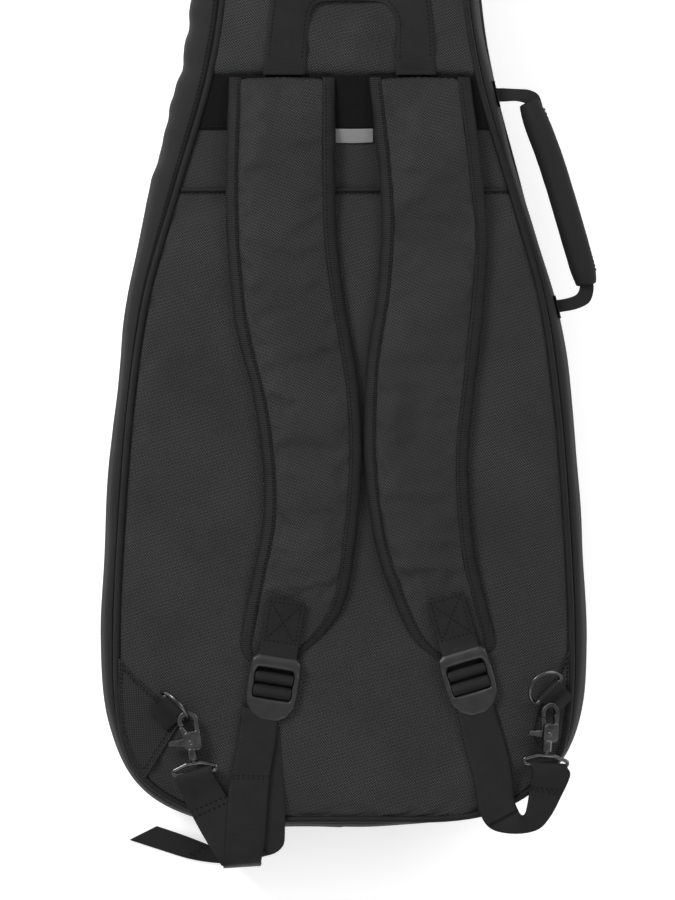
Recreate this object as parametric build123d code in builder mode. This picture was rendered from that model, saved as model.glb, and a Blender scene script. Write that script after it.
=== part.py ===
from build123d import *
import os
from math import cos, radians, sin

# A padded gig bag lying on its front. Millimetres. X to the right, Y towards the neck, Z out of the back panel.
# The origin is on the resting face, on the centreline, level with the widest part of the lower bout.

# Driving dimensions
tail_y = -147.0          # tail end of the bag
neck_end_y = 905.0       # headstock end of the bag
bout_half_width = 190.4
fabric = 1.6             # woven nylon with its backing
foam = 16.0
liner = 1.0
webbing = 1.5
clearance = 0.4          # between pieces that move past each other

pocket_depth = 10.0      # front accessory pocket, lying flat
front_z = pocket_depth   # outer face of the front panel
zip_low_z = 46.0         # lower edge of the front zip tape
zip_z = 52.0             # where the two rows of teeth meet
zip_high_z = 58.0
teeth_gap = 0.8          # from the middle of the zip to each row
foam_gap = 4.8           # from the middle of the zip to the padding, so that the sliders pass
back_z = 96.5            # outer face of the back panel
edge_round = 9.0         # roll of the fabric over the padding, out to the gusset
piping_inset = 7.0
piping_width = 5.0
piping_height = 4.0
panel_inset = 12.6       # sewn-on back panels stop at the piping
back_pocket_z = 103.0    # outer face of the back pocket panel
strap_z = 103.6          # underside of the shoulder straps
strap_thickness = 12.0

seam_y = 445.0           # seam that the straps and the haul handle come out of
band_low_y = 403.0
pocket_top_y = 357.0
hinge_low_y = -90.0      # unzipped stretch on the left side
hinge_high_y = 160.0

bout_points = [(0, tail_y), (85, -146), (130, -135), (167, -108), (185, -64), (bout_half_width, 0),
               (186.5, 95), (179, 190), (167, 272), (144, 363), (124, 440), (113, 505), (108, 590)]
neck_top = (103.0, 800.0)
head_points = [neck_top, (97, 855), (66, 895), (0, neck_end_y)]
neck_heading = (neck_top[0] - bout_points[-1][0], neck_top[1] - bout_points[-1][1])

with BuildLine() as half_outline:
    bout_curve = Spline(*bout_points, tangents=[(1, 0), neck_heading])
    neck_line = Line(bout_points[-1], neck_top)
    head_curve = Spline(*head_points, tangents=[neck_heading, (-1, 0)])


def moved_in(curve, inset, steps):
    """Points along one curve of the right half outline, moved towards the inside of the bag."""
    points = []
    for step in range(steps + 1):
        place = curve @ (step / steps)
        heading = curve % (step / steps)
        points.append((place.X - inset * heading.Y, place.Y + inset * heading.X))
    return points


def bag_face(inset, height):
    """The whole outline of the bag, moved in all round, as a face at one height."""
    bout = moved_in(bout_curve, inset, 16)
    head = moved_in(head_curve, inset, 8)
    with BuildSketch(Plane.XY.offset(height)) as face:
        with BuildLine():
            Spline(*bout, tangents=[(1, 0), neck_heading])
            Line(bout[-1], head[0])
            Spline(*head, tangents=[neck_heading, (-1, 0)])
            mirror(about=Plane.YZ)
        make_face()
    return face.sketch


def rolled_edge(inset, start_z, radius):
    """The bag's whole outline with its rim rolled over, from start_z up or down by the radius."""
    half_turn = abs(radius) * (1 - cos(radians(45)))
    edge = [bag_face(inset, start_z),
            bag_face(inset + half_turn, start_z + radius * sin(radians(45))),
            bag_face(inset + abs(radius), start_z + radius)]
    with BuildPart() as rim:
        loft(edge, ruled=True)
    return rim.part


def box_part(low, high):
    """A plain block between two corners, used to cut and to trim."""
    size = [high[axis] - low[axis] for axis in range(3)]
    middle = [(high[axis] + low[axis]) / 2 for axis in range(3)]
    return Pos(*middle) * Box(*size, mode=Mode.PRIVATE)


def outline_face(points, height):
    """A face with straight sides."""
    with BuildSketch(Plane.XY.offset(height)) as face:
        with BuildLine():
            Polyline(*points, close=True)
        make_face()
    return face.sketch


def save(piece, name):
    """Labels one finished piece and writes its file."""
    piece.label = name
    export_step(piece, f"parts/{name}.step")


os.makedirs("parts", exist_ok=True)
wide = 400.0
hinge_stretch = box_part((-wide, hinge_low_y, 0), (0, hinge_high_y, 200))

# ---------------------------------------------------------------- front half: panel, gusset, padding, lining

inner_round = edge_round - fabric
with BuildPart() as front_foam:
    extrude(bag_face(fabric, front_z + edge_round), amount=zip_z - front_z - edge_round)
    add(rolled_edge(fabric, front_z + edge_round, -inner_round))
front_foam_body = front_foam.part

with BuildPart() as front_skin:
    extrude(bag_face(0, front_z + edge_round), amount=zip_low_z - front_z - edge_round)
    add(rolled_edge(0, front_z + edge_round, -edge_round))
    add(front_foam_body, mode=Mode.SUBTRACT)

with BuildPart() as front_panel:
    add(front_skin.part)
    extrude(bag_face(edge_round, 0), amount=wide, mode=Mode.INTERSECT)
save(front_panel.part, "front_panel")

with BuildPart() as front_gusset:
    add(front_skin.part)
    extrude(bag_face(edge_round, 0), amount=wide, mode=Mode.SUBTRACT)
save(front_gusset.part, "front_gusset")

with BuildPart() as front_padding:
    add(front_foam_body)
    extrude(bag_face(0, zip_z - foam_gap), amount=wide, mode=Mode.SUBTRACT)
    extrude(bag_face(fabric + foam, front_z + fabric + foam), amount=zip_z, mode=Mode.SUBTRACT)
save(front_padding.part, "front_padding")

with BuildPart() as front_lining:
    extrude(bag_face(fabric + foam, front_z + fabric + foam), amount=zip_z - foam_gap - front_z - fabric - foam)
    extrude(bag_face(fabric + foam + liner, front_z + fabric + foam + liner), amount=zip_z, mode=Mode.SUBTRACT)
save(front_lining.part, "front_lining")

with BuildPart() as front_piping:
    extrude(bag_face(piping_inset, front_z - piping_height), amount=piping_height)
    extrude(bag_face(piping_inset + piping_width, 0), amount=zip_z, mode=Mode.SUBTRACT)
save(front_piping.part, "front_piping")

# ---------------------------------------------------------------- back half: panel, gusset, padding, lining

with BuildPart() as back_foam:
    extrude(bag_face(fabric, zip_z + foam_gap), amount=back_z - edge_round - zip_z - foam_gap)
    add(rolled_edge(fabric, back_z - edge_round, inner_round))
back_foam_body = back_foam.part

with BuildPart() as back_skin:
    extrude(bag_face(0, zip_high_z), amount=back_z - edge_round - zip_high_z)
    add(rolled_edge(0, back_z - edge_round, edge_round))
    add(back_foam_body, mode=Mode.SUBTRACT)

with BuildPart() as back_panel:
    add(back_skin.part)
    extrude(bag_face(edge_round, 0), amount=wide, mode=Mode.INTERSECT)
save(back_panel.part, "back_panel")

with BuildPart() as back_gusset:
    add(back_skin.part)
    extrude(bag_face(edge_round, 0), amount=wide, mode=Mode.SUBTRACT)
save(back_gusset.part, "back_gusset")

foam_top = back_z - fabric
with BuildPart() as back_padding:
    add(back_foam_body)
    extrude(bag_face(fabric + foam, 0), amount=foam_top - foam, mode=Mode.SUBTRACT)
save(back_padding.part, "back_padding")

with BuildPart() as back_lining:
    extrude(bag_face(fabric + foam, zip_z + foam_gap), amount=foam_top - foam - zip_z - foam_gap)
    extrude(bag_face(fabric + foam + liner, 0), amount=foam_top - foam - liner, mode=Mode.SUBTRACT)
save(back_lining.part, "back_lining")

with BuildPart() as back_piping:
    extrude(bag_face(piping_inset, back_z), amount=piping_height)
    extrude(bag_face(piping_inset + piping_width, 0), amount=wide, mode=Mode.SUBTRACT)
save(back_piping.part, "back_piping")

# ---------------------------------------------------------------- main zip

tape_thickness = 1.2
zip_rows = {"front_zip_tape": (zip_low_z, zip_z - teeth_gap), "back_zip_tape": (zip_z + teeth_gap, zip_high_z)}
for name, (low, high) in zip_rows.items():
    with BuildPart() as zip_tape:
        extrude(bag_face(0, low), amount=high - low)
        extrude(bag_face(tape_thickness, 0), amount=wide, mode=Mode.SUBTRACT)
        add(hinge_stretch, mode=Mode.SUBTRACT)
    save(zip_tape.part, name)

with BuildPart() as hinge_gusset:
    extrude(bag_face(0, zip_low_z), amount=zip_high_z - zip_low_z)
    extrude(bag_face(tape_thickness, 0), amount=wide, mode=Mode.SUBTRACT)
    add(hinge_stretch, mode=Mode.INTERSECT)
save(hinge_gusset.part, "hinge_gusset")


def zip_slider_part(plane, tape):
    """A zip slider on a tape's outer face. The plane is on that face, with x along the zip and y across it."""
    inner_plate = 1.2
    outer_plate = 1.6
    bridge_gap = 1.8
    with BuildPart() as slider:
        with BuildSketch(plane.offset(clearance)):
            RectangleRounded(slider_length, 8.4, 2)
        extrude(amount=outer_plate)
        with BuildSketch(plane.offset(-tape - clearance - inner_plate)):
            RectangleRounded(slider_length - 2, 5, 1)
        extrude(amount=inner_plate)
        with BuildSketch(plane.offset(-tape - clearance - inner_plate / 2)):
            Rectangle(5, 0.8)
        extrude(amount=tape + 2 * clearance + inner_plate)
        with BuildSketch(plane.offset(clearance + outer_plate)):
            with Locations((0, -2.9), (0, 2.9)):
                Rectangle(2.4, 1.4)
        extrude(amount=bridge_gap)
        with BuildSketch(plane.offset(clearance + outer_plate + bridge_gap)):
            Rectangle(2.4, 7.2)
        extrude(amount=1)
    return slider.part


def zip_pull_part(pivot_plane, reach):
    """The slider's pull: a bail that passes under the bridge, and a tab that points along the plane's -y."""
    thickness = 1.2
    with BuildPart() as pull:
        with BuildSketch(pivot_plane.offset(-thickness / 2)):
            with Locations((0, -reach / 2)):
                RectangleRounded(6, reach + thickness, 0.5)
            with Locations((0, -3.8)):
                Rectangle(3.4, 6.4, mode=Mode.SUBTRACT)
            with Locations((0, 4 - reach)):
                Circle(1.2, mode=Mode.SUBTRACT)
        extrude(amount=thickness)
    return pull.part


# The two main sliders stand nose to nose on the straight stretch beside the neck, on the right.
slider_length = 14.0
pull_pivot = clearance + 1.6 + 0.9   # height of the pull's bail over the tape
neck_middle = neck_line @ 0.5
neck_along = neck_line % 0.5
for name, offset in (("lower", -slider_length), ("upper", slider_length)):
    place = neck_middle + neck_along * offset
    slider_plane = Plane(origin=(place.X, place.Y, zip_z), x_dir=(neck_along.X, neck_along.Y, 0),
                         z_dir=(neck_along.Y, -neck_along.X, 0))
    save(zip_slider_part(slider_plane, tape_thickness), f"main_zip_slider_{name}")
    save(zip_pull_part(slider_plane.offset(pull_pivot), 30), f"main_zip_pull_{name}")

# ---------------------------------------------------------------- front pocket, lying flat under the bag

pocket_low_y = -105.0
pocket_high_y = 285.0
pocket_inset = 24.0
pocket_wall = 1.6
pocket_zip_half = 95.0   # half the length of the pocket's zip
pocket_zip_low_z = 2.2
pocket_zip_z = 5.4
pocket_zip_high_z = 8.6
pocket_tape_y = pocket_high_y - 0.4


def pocket_block(wall):
    """The front pocket's outside, or its inside space when moved in by the wall."""
    with BuildPart() as block:
        extrude(bag_face(pocket_inset + wall, wall), amount=pocket_depth)
        add(box_part((-wide, pocket_high_y - wall, -1), (wide, 1000, wide)), mode=Mode.SUBTRACT)
        add(box_part((-wide, -wide, -1), (wide, pocket_low_y + wall, wide)), mode=Mode.SUBTRACT)
    return block.part


with BuildPart() as front_pocket:
    add(pocket_block(0))
    add(pocket_block(pocket_wall), mode=Mode.SUBTRACT)
    add(box_part((-pocket_zip_half, pocket_high_y - 5, pocket_zip_low_z),
                 (pocket_zip_half, pocket_high_y + 5, pocket_zip_high_z)), mode=Mode.SUBTRACT)
save(front_pocket.part, "front_pocket")

pocket_zip_rows = ((pocket_zip_low_z, pocket_zip_z - teeth_gap), (pocket_zip_z + teeth_gap, pocket_zip_high_z))
with BuildPart() as pocket_zip:
    for low, high in pocket_zip_rows:
        add(box_part((-pocket_zip_half, pocket_high_y - pocket_wall, low), (pocket_zip_half, pocket_tape_y, high)))
save(pocket_zip.part, "pocket_zip")

slider_x = 70.0
pocket_plane = Plane(origin=(slider_x, pocket_tape_y, pocket_zip_z), x_dir=(-1, 0, 0), z_dir=(0, 1, 0))
save(zip_slider_part(pocket_plane, tape_thickness), "pocket_zip_slider")
# The pocket's pull points outwards, because the floor is too close for it to hang.
pull_plane = Plane(origin=(slider_x, pocket_tape_y + pull_pivot, pocket_zip_z), x_dir=(-1, 0, 0), z_dir=(0, 0, 1))
save(zip_pull_part(pull_plane, 22), "pocket_zip_pull")

# ---------------------------------------------------------------- inside: neck cradle, neck strap, tail bumper

inner_floor = front_z + fabric + foam + liner
cradle_y = 600.0
cradle_length = 90.0
cradle_top = 56.0
with BuildPart() as neck_cradle:
    with BuildSketch(Plane.XZ.offset(-cradle_y - cradle_length / 2)):
        with BuildLine():
            Polyline((-80, inner_floor), (80, inner_floor), (74, cradle_top), (31, cradle_top))
            ThreePointArc((31, cradle_top), (0, inner_floor + 10), (-31, cradle_top))
            Polyline((-31, cradle_top), (-74, cradle_top), (-80, inner_floor))
        make_face()
    extrude(amount=cradle_length)
save(neck_cradle.part, "neck_cradle")

with BuildPart() as neck_strap:
    add(box_part((-72, cradle_y - 19, cradle_top + 0.2), (72, cradle_y + 19, cradle_top + 2.2)))
save(neck_strap.part, "neck_strap")

with BuildPart() as tail_bumper:
    add(box_part((-60, tail_y + 20, inner_floor), (60, tail_y + 38, 48)))
save(tail_bumper.part, "tail_bumper")

# ---------------------------------------------------------------- back: sewn-on panels, label, patches

panel_z = back_z
back_pocket_wall = 1.5
with BuildPart() as back_pocket_panel:
    extrude(bag_face(panel_inset, panel_z), amount=back_pocket_z - panel_z)
    extrude(bag_face(panel_inset + back_pocket_wall, panel_z), amount=back_pocket_z - panel_z - back_pocket_wall,
            mode=Mode.SUBTRACT)
    add(box_part((-wide, pocket_top_y - 4, 0), (wide, 1000, wide)), mode=Mode.SUBTRACT)
save(back_pocket_panel.part, "back_pocket_panel")

with BuildPart() as pocket_hem:
    extrude(bag_face(panel_inset + 4, back_pocket_z - back_pocket_wall - 0.8), amount=back_pocket_wall + 0.8)
    add(box_part((-wide, -wide, 0), (wide, pocket_top_y - 4, wide)), mode=Mode.SUBTRACT)
    add(box_part((-wide, pocket_top_y, 0), (wide, 1000, wide)), mode=Mode.SUBTRACT)
save(pocket_hem.part, "pocket_hem")

with BuildPart() as ribbed_band:
    extrude(bag_face(panel_inset, panel_z), amount=1.6)
    add(box_part((-wide, -wide, 0), (wide, band_low_y, wide)), mode=Mode.SUBTRACT)
    add(box_part((-wide, seam_y - 1, 0), (wide, 1000, wide)), mode=Mode.SUBTRACT)
save(ribbed_band.part, "ribbed_band")

yoke_thickness = 4.5
with BuildPart() as yoke_panel:
    extrude(bag_face(panel_inset, panel_z), amount=yoke_thickness)
    add(box_part((-wide, -wide, 0), (wide, seam_y, wide)), mode=Mode.SUBTRACT)
save(yoke_panel.part, "yoke_panel")

with BuildPart() as woven_label:
    add(box_part((-8, band_low_y - 10.5, panel_z), (23, band_low_y - 1, panel_z + 0.8)))
save(woven_label.part, "woven_label")

patch_z = back_pocket_z
patch_shapes = {
    "left": [(-176, -14), (-166, -30), (-146, -46), (-125, -66), (-152, -112), (-160, -104), (-172, -74),
             (-177, -40)],
    "right": [(176, -8), (167, -30), (151, -56), (147, -74), (160, -104), (172, -74), (177, -40)],
}
for side, points in patch_shapes.items():
    with BuildPart() as corner_patch:
        extrude(outline_face(points, patch_z), amount=1.6)
        extrude(bag_face(panel_inset + 0.4, 0), amount=wide, mode=Mode.INTERSECT)
    save(corner_patch.part, f"corner_patch_{side}")

# ---------------------------------------------------------------- D-rings, snap hooks, swivel eyes

wire = 1.5               # radius of the ring and eye wire
ring_half = 14.5         # half the D-ring's straight side, on the wire's centreline
ring_leg = 3.0
loop_hollow = wire + clearance
loop_outer = loop_hollow + webbing
ring_axis_z = patch_z + 1.6 + loop_outer + 0.2


def d_ring_part(plane):
    """A D-ring of round wire. Its straight side lies along the plane's x, and it bulges along y."""
    with BuildPart() as ring:
        with BuildLine(plane):
            straight = Line((-ring_half + 3, 0), (ring_half - 3, 0))
            right_corner = TangentArc(straight @ 1, (ring_half, 3), tangent=straight % 1)
            top = ThreePointArc((ring_half, 3), (0, ring_half + 3), (-ring_half, 3))
            left_corner = TangentArc((-ring_half, 3), straight @ 0, tangent=top % 1)
        with BuildSketch(Plane(origin=plane.from_local_coords((0, 0, 0)), z_dir=plane.x_dir)):
            Circle(wire)
        sweep()
    return ring.part


def ring_loop_part(plane, patch_side):
    """Webbing folded round the D-ring's straight side, with its tail sewn flat on the corner patch.

    The plane has x along the ring's straight side and z up; patch_side is the way to the patch along y.
    """
    half_width = 10.5
    tail_low = patch_z + 1.6 - plane.origin.Z
    side_plane = Plane(origin=plane.origin, x_dir=plane.y_dir * patch_side, z_dir=plane.x_dir * patch_side)
    with BuildPart() as loop:
        with BuildSketch(side_plane.offset(-half_width)):
            Circle(loop_outer)
            with BuildLine():
                Polyline((0, tail_low), (16, tail_low), (16, tail_low + 2 * webbing), (0, tail_low + 2 * webbing),
                         close=True)
            make_face()
            Circle(loop_hollow, mode=Mode.SUBTRACT)
        extrude(amount=2 * half_width)
    return loop.part


hole_radius = 4.8        # hollow of the snap hook
hook_radius = 8.2
hook_thick = 3.6
rivet_y = -16.6
neck_y = -23.0
eye_top_y = -31.5
eye_bar_y = -41.0
eye_half = 17.0
gate_rivet = 1.4


def cross_section(plane, y):
    """The plane across a hook's own y axis, at that y, facing its top."""
    return Plane(origin=plane.from_local_coords((0, y, 0)), x_dir=plane.x_dir, z_dir=plane.y_dir)


def snap_hook_part(plane):
    """The snap hook's body. The plane is the hook's own: origin in its hollow, y towards its top."""
    with BuildPart() as hook:
        with BuildSketch(plane.offset(-hook_thick / 2)):
            Circle(hook_radius)
            with Locations(((hole_radius + hook_radius) / 2, -5)):
                Rectangle(hook_radius - hole_radius, 10)
            Circle(hole_radius, mode=Mode.SUBTRACT)
            with BuildLine():
                Polyline((-20, -3), (hole_radius - 0.4, -3), (hole_radius - 0.4, -9), (-20, -9), close=True)
            make_face(mode=Mode.SUBTRACT)
        extrude(amount=hook_thick)
        with BuildSketch(plane.offset(-2.6)):
            with Locations((1.6, (neck_y - 8.5) / 2)):
                RectangleRounded(2 * (hook_radius - 1.6), -neck_y - 8.5, 3)
        extrude(amount=5.2)
        with BuildSketch(cross_section(plane, eye_top_y + 1)):
            Circle(3.6)
        extrude(amount=neck_y - eye_top_y)
        # slot for the gate, and the swivel's bore with its wider chamber for the eye's head
        with BuildSketch(plane.offset(-1.2)):
            with Locations((-3, -13.4)):
                Rectangle(18, 12.6)
        extrude(amount=2.4, mode=Mode.SUBTRACT)
        with BuildSketch(cross_section(plane, eye_top_y)):
            Circle(1.7)
        extrude(amount=6, mode=Mode.SUBTRACT)
        with BuildSketch(cross_section(plane, eye_top_y + 4)):
            Circle(2.6)
        extrude(amount=3.4, mode=Mode.SUBTRACT)
        with BuildSketch(plane.offset(-3.0)):
            with Locations((0, rivet_y)):
                Circle(gate_rivet)
        extrude(amount=6)
    return hook.part


def hook_gate_part(plane):
    """The gate that closes the hook's mouth, with its thumb lever, on the rivet."""
    with BuildPart() as gate:
        with BuildSketch(plane.offset(-0.8)):
            with BuildLine():
                Polyline((3, rivet_y), (-4.9, -3.4), (-7.6, -4.6), (-5.6, rivet_y + 3), (-17, rivet_y + 2.6),
                         (-18, rivet_y - 0.6), (-3, rivet_y - 3), close=True)
            make_face()
            with Locations((0, rivet_y)):
                Circle(3.0)
                Circle(gate_rivet + 0.08, mode=Mode.SUBTRACT)
        extrude(amount=1.6)
    return gate.part


def swivel_eye_part(plane):
    """The eye that the webbing is sewn round, with a headed stem that turns in the hook's neck."""
    with BuildPart() as eye:
        with BuildLine(plane):
            outline = FilletPolyline((6, eye_top_y - 2.2), (eye_half, eye_top_y - 6), (eye_half, eye_bar_y),
                                     (-eye_half, eye_bar_y), (-eye_half, eye_top_y - 6), (-6, eye_top_y - 2.2),
                                     radius=1.8, close=True)
        with BuildSketch(Plane(origin=outline @ 0, z_dir=outline % 0)):
            Circle(wire)
        sweep(path=outline)
        with BuildSketch(cross_section(plane, eye_top_y - 2.2)):
            Circle(1.4)
        extrude(amount=2.2 + 7)
        with BuildSketch(cross_section(plane, eye_top_y + 4.6)):
            Circle(2.2)
        extrude(amount=2.2)
    return eye.part


def leaning_plane(origin, lean, pitch, roll):
    """A plane whose y leans from +Y by lean, climbs by pitch, and is rolled about y. Angles in degrees."""
    along = Vector(-sin(radians(lean)) * cos(radians(pitch)), cos(radians(lean)) * cos(radians(pitch)),
                   sin(radians(pitch)))
    across = Vector(cos(radians(lean)), sin(radians(lean)), 0)
    up = across.cross(along)
    rolled_across = across * cos(radians(roll)) + up * sin(radians(roll))
    return Plane(origin=origin, x_dir=rolled_across, z_dir=rolled_across.cross(along))


# The left ring stands up from its loop, and the right one has fallen back over the corner patch.
ring_places = {
    "left": {"centre": (-133.9, -52.2), "axis_angle": -48.2, "tilt": 70, "patch_side": -1},
    "right": {"centre": (161.5, -39.9), "axis_angle": 45 + 180, "tilt": 150, "patch_side": 1},
}
hook_places = {
    "left": {"origin": (-122.7, -63.1, 113.8), "lean": 8, "pitch": 4, "roll": 0},
    "right": {"origin": (161.4, -56.5, 114.4), "lean": -4, "pitch": 4, "roll": -30},
}
for side in ("left", "right"):
    ring = ring_places[side]
    turn = radians(ring["axis_angle"])
    straight_dir = Vector(cos(turn), sin(turn), 0)
    centre = (*ring["centre"], ring_axis_z)
    level = Plane(origin=centre, x_dir=straight_dir, z_dir=(0, 0, 1))
    tilt = radians(ring["tilt"])
    bulge = level.y_dir * cos(tilt) + Vector(0, 0, sin(tilt))
    ring_plane = Plane(origin=centre, x_dir=straight_dir, z_dir=straight_dir.cross(bulge))
    save(d_ring_part(ring_plane), f"d_ring_{side}")
    save(ring_loop_part(level, ring["patch_side"]), f"ring_loop_{side}")
    hook = hook_places[side]
    hook_plane = leaning_plane(hook["origin"], hook["lean"], hook["pitch"], hook["roll"])
    eye_plane = leaning_plane(hook["origin"], hook["lean"], hook["pitch"], 0)
    save(snap_hook_part(hook_plane), f"snap_hook_{side}")
    save(hook_gate_part(hook_plane), f"hook_gate_{side}")
    save(swivel_eye_part(eye_plane), f"swivel_eye_{side}")


# ---------------------------------------------------------------- shoulder straps

pad_edges = {
    "left": {"outer": [(-91, 443.4), (-93, 340), (-86, 253), (-69, 179), (-63, 105), (-73, 45), (-80, -8)],
             "inner": [(-36, -12), (-12, 9), (2, 34), (9.5, 80), (14.2, 142), (11, 205), (0, 272), (-6, 330),
                       (-7, 443.4)]},
    "right": {"outer": [(99.5, 443.4), (108, 375), (113, 305), (105, 215), (98, 145), (102, 76), (112, 30),
                        (117, -3)],
              "inner": [(70, -14), (52, 5), (36, 40), (24, 78), (15.8, 142), (17.5, 215), (27, 280), (29, 345),
                        (19.5, 443.4)]},
}
buckle_places = {
    "left": {"origin": (-53.0, -17.8), "lean": -9.1},
    "right": {"origin": (93.3, -13.2), "lean": 16.5},
}
bar_z = 107.4            # height of the buckles' loop bars
binding_width = 9.0
buckle_room_top = 8.0    # how far above the loop bar the pad stops


def pad_face(side, inset, height):
    """A shoulder pad's outline with its long edges moved in, as a face at one height."""
    outward = -1 if side == "left" else 1
    outer = [(x - outward * inset, y) for x, y in pad_edges[side]["outer"]]
    inner = [(x + outward * inset, y) for x, y in pad_edges[side]["inner"]]
    with BuildSketch(Plane.XY.offset(height)) as face:
        with BuildLine():
            Spline(*outer)
            Line(outer[-1], inner[0])
            Spline(*inner)
            Line(inner[-1], outer[0])
        make_face()
    return face.sketch


def pad_profile():
    """The straps' thickness seen from the side: thin at the seam, full over the panel, thin at the buckle."""
    with BuildPart() as profile:
        with BuildSketch(Plane.YZ.offset(-wide)):
            with BuildLine():
                Polyline((443.4, 98.8), (404, 98.8), (364, strap_z), (-30, strap_z), (-30, 106.6), (-6, 106.9),
                         (36, 113.2), (48, strap_z + strap_thickness), (398, strap_z + strap_thickness),
                         (443.4, 104.6), close=True)
            make_face()
        extrude(amount=2 * wide)
    return profile.part


def buckle_plane(side):
    """The buckle's own plane: origin on its loop bar, y up the strap, z up."""
    place = buckle_places[side]
    return leaning_plane((*place["origin"], bar_z), place["lean"], 0, 0)


def strap_tab_part(plane):
    """The webbing tab: sewn on the pad's end, and looped round the buckle's bar."""
    half_width = 15.0
    side_plane = Plane(origin=plane.origin, x_dir=plane.y_dir, z_dir=plane.x_dir)
    with BuildPart() as tab:
        with BuildSketch(side_plane.offset(-half_width)):
            Circle(3.8)
            with BuildLine():
                Polyline((2, -1.5), (9, -1.5), (13, 0.7), (51, 6.5), (51, 8.1), (12, 2.5), (2, 1.5), close=True)
            make_face()
            Circle(2.3, mode=Mode.SUBTRACT)
        extrude(amount=2 * half_width)
    return tab.part


def ladder_lock_part(plane):
    """The ladder-lock buckle: loop bar under a hood, two side rails, two cross bars, and the thumb tab."""
    half_width = 20.0
    rail = 4.2
    side_plane = Plane(origin=plane.origin, x_dir=plane.y_dir, z_dir=plane.x_dir)
    with BuildPart() as buckle:
        for rail_x in (-half_width, half_width - rail):
            with BuildSketch(side_plane.offset(rail_x)):
                with BuildLine():
                    Polyline((3, 6.2), (3, 2.2), (2, -2.2), (-36, -2.2), (-36, 1.6), (-9, 2.2), (-6, 6.2), close=True)
                make_face()
            extrude(amount=rail)
        with BuildSketch(side_plane.offset(-half_width + 0.5)):
            with Locations((-1.5, 5.2)):
                Rectangle(9, 2)
            Circle(1.9)
            with Locations((-15, 0.4)):
                Rectangle(4.5, 2.6)
            with Locations((-33, -0.6)):
                Rectangle(6, 3.2)
        extrude(amount=2 * half_width - 1)
        with BuildSketch(plane.offset(-1.2)):
            with BuildLine():
                Polyline((-19, -33), (19, -33), (16.5, -39))
                ThreePointArc((16.5, -39), (0, -47.5), (-16.5, -39))
                Line((-16.5, -39), (-19, -33))
            make_face()
        extrude(amount=2.6)
    return buckle.part


for side in ("left", "right"):
    plane = buckle_plane(side)
    tab = strap_tab_part(plane)
    buckle_room = plane * box_part((-60, -52, -30), (60, buckle_room_top, 30))
    with BuildPart() as shoulder_pad:
        extrude(pad_face(side, binding_width, 90), amount=40)
        add(pad_profile(), mode=Mode.INTERSECT)
        add(buckle_room, mode=Mode.SUBTRACT)
        add(tab, mode=Mode.SUBTRACT)
    with BuildPart() as strap_binding:
        extrude(pad_face(side, 0, 90), amount=40)
        extrude(pad_face(side, binding_width, 90), amount=40, mode=Mode.SUBTRACT)
        add(pad_profile(), mode=Mode.INTERSECT)
        add(buckle_room, mode=Mode.SUBTRACT)
        add(tab, mode=Mode.SUBTRACT)
    save(shoulder_pad.part, f"shoulder_pad_{side}")
    save(strap_binding.part, f"strap_binding_{side}")
    save(tab, f"strap_tab_{side}")
    save(ladder_lock_part(plane), f"ladder_lock_{side}")

# ---------------------------------------------------------------- strap webbing below the buckles

low_layer = 103.3
middle_layer = 104.95
top_layer = 106.6
floor_gap = 0.3          # the left tail's end lies just over the floor
webbing_shapes = {
    "left": {
        "load": [(-80, -54), (-50, -60), (-49, -91), (-46.5, -146), (-49, -163), (-67, -175), (-96, -176.5),
                 (-91, -150), (-84, -90)],
        "return": [(-131.5, -112), (-104, -104), (-91, -122), (-66, -174), (-96, -176.5), (-104, -165), (-116, -146)],
        "tail": [(-84, -88), (-57, -91), (-58.5, -117), (-60, -142), (-62.5, -178.5), (-95, -180), (-91.5, -150),
                 (-91.5, -125)],
        "drop": [(-95, -180), (-62.5, -178.5), (-62.5, -177), (-95, -178.5)],
        "end": [(-95, -177), (-62.5, -177), (-65, -180.5), (-104, -187), (-127, -183.5), (-150, -177.5),
                (-174, -168.5), (-174, -165), (-152, -155.5), (-132, -159.5), (-107, -170.5)],
    },
    "right": {
        "load": [(88, -52), (119, -44), (131, -100), (134, -122), (151, -150), (115, -150), (106, -135),
                 (103.5, -110)],
        "return": [(145.5, -112), (150, -105), (177.5, -108), (173, -122), (163, -140.5), (151, -150), (137.5, -135)],
        "tail": [(92, -68), (124, -62), (131, -100), (134, -122), (146, -146), (112, -146), (106, -135),
                 (103.5, -110)],
    },
}
fold_high_y = -148.0     # the load webbing turns back on itself below this


def webbing_fold(shapes):
    """The solid turn where the load webbing folds back up to the hook."""
    with BuildPart() as fold:
        extrude(outline_face(shapes["load"], low_layer), amount=middle_layer - low_layer + webbing)
        extrude(outline_face(shapes["return"], low_layer), amount=wide, mode=Mode.INTERSECT)
        add(box_part((-wide, fold_high_y, 0), (wide, 0, wide)), mode=Mode.SUBTRACT)
    return fold.part


for side in ("left", "right"):
    with BuildPart() as strap_webbing:
        extrude(outline_face(webbing_shapes[side]["load"], low_layer), amount=webbing)
        extrude(outline_face(webbing_shapes[side]["return"], middle_layer), amount=webbing)
        add(webbing_fold(webbing_shapes[side]))
    save(strap_webbing.part, f"strap_webbing_{side}")

with BuildPart() as webbing_tail_left:
    extrude(outline_face(webbing_shapes["left"]["tail"], top_layer), amount=webbing)
    extrude(outline_face(webbing_shapes["left"]["drop"], floor_gap), amount=top_layer + webbing - floor_gap)
    extrude(outline_face(webbing_shapes["left"]["end"], floor_gap), amount=webbing)
save(webbing_tail_left.part, "webbing_tail_left")

with BuildPart() as webbing_tail_right:
    extrude(outline_face(webbing_shapes["right"]["tail"], top_layer), amount=webbing)
save(webbing_tail_right.part, "webbing_tail_right")

# ---------------------------------------------------------------- carrying handles

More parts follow.
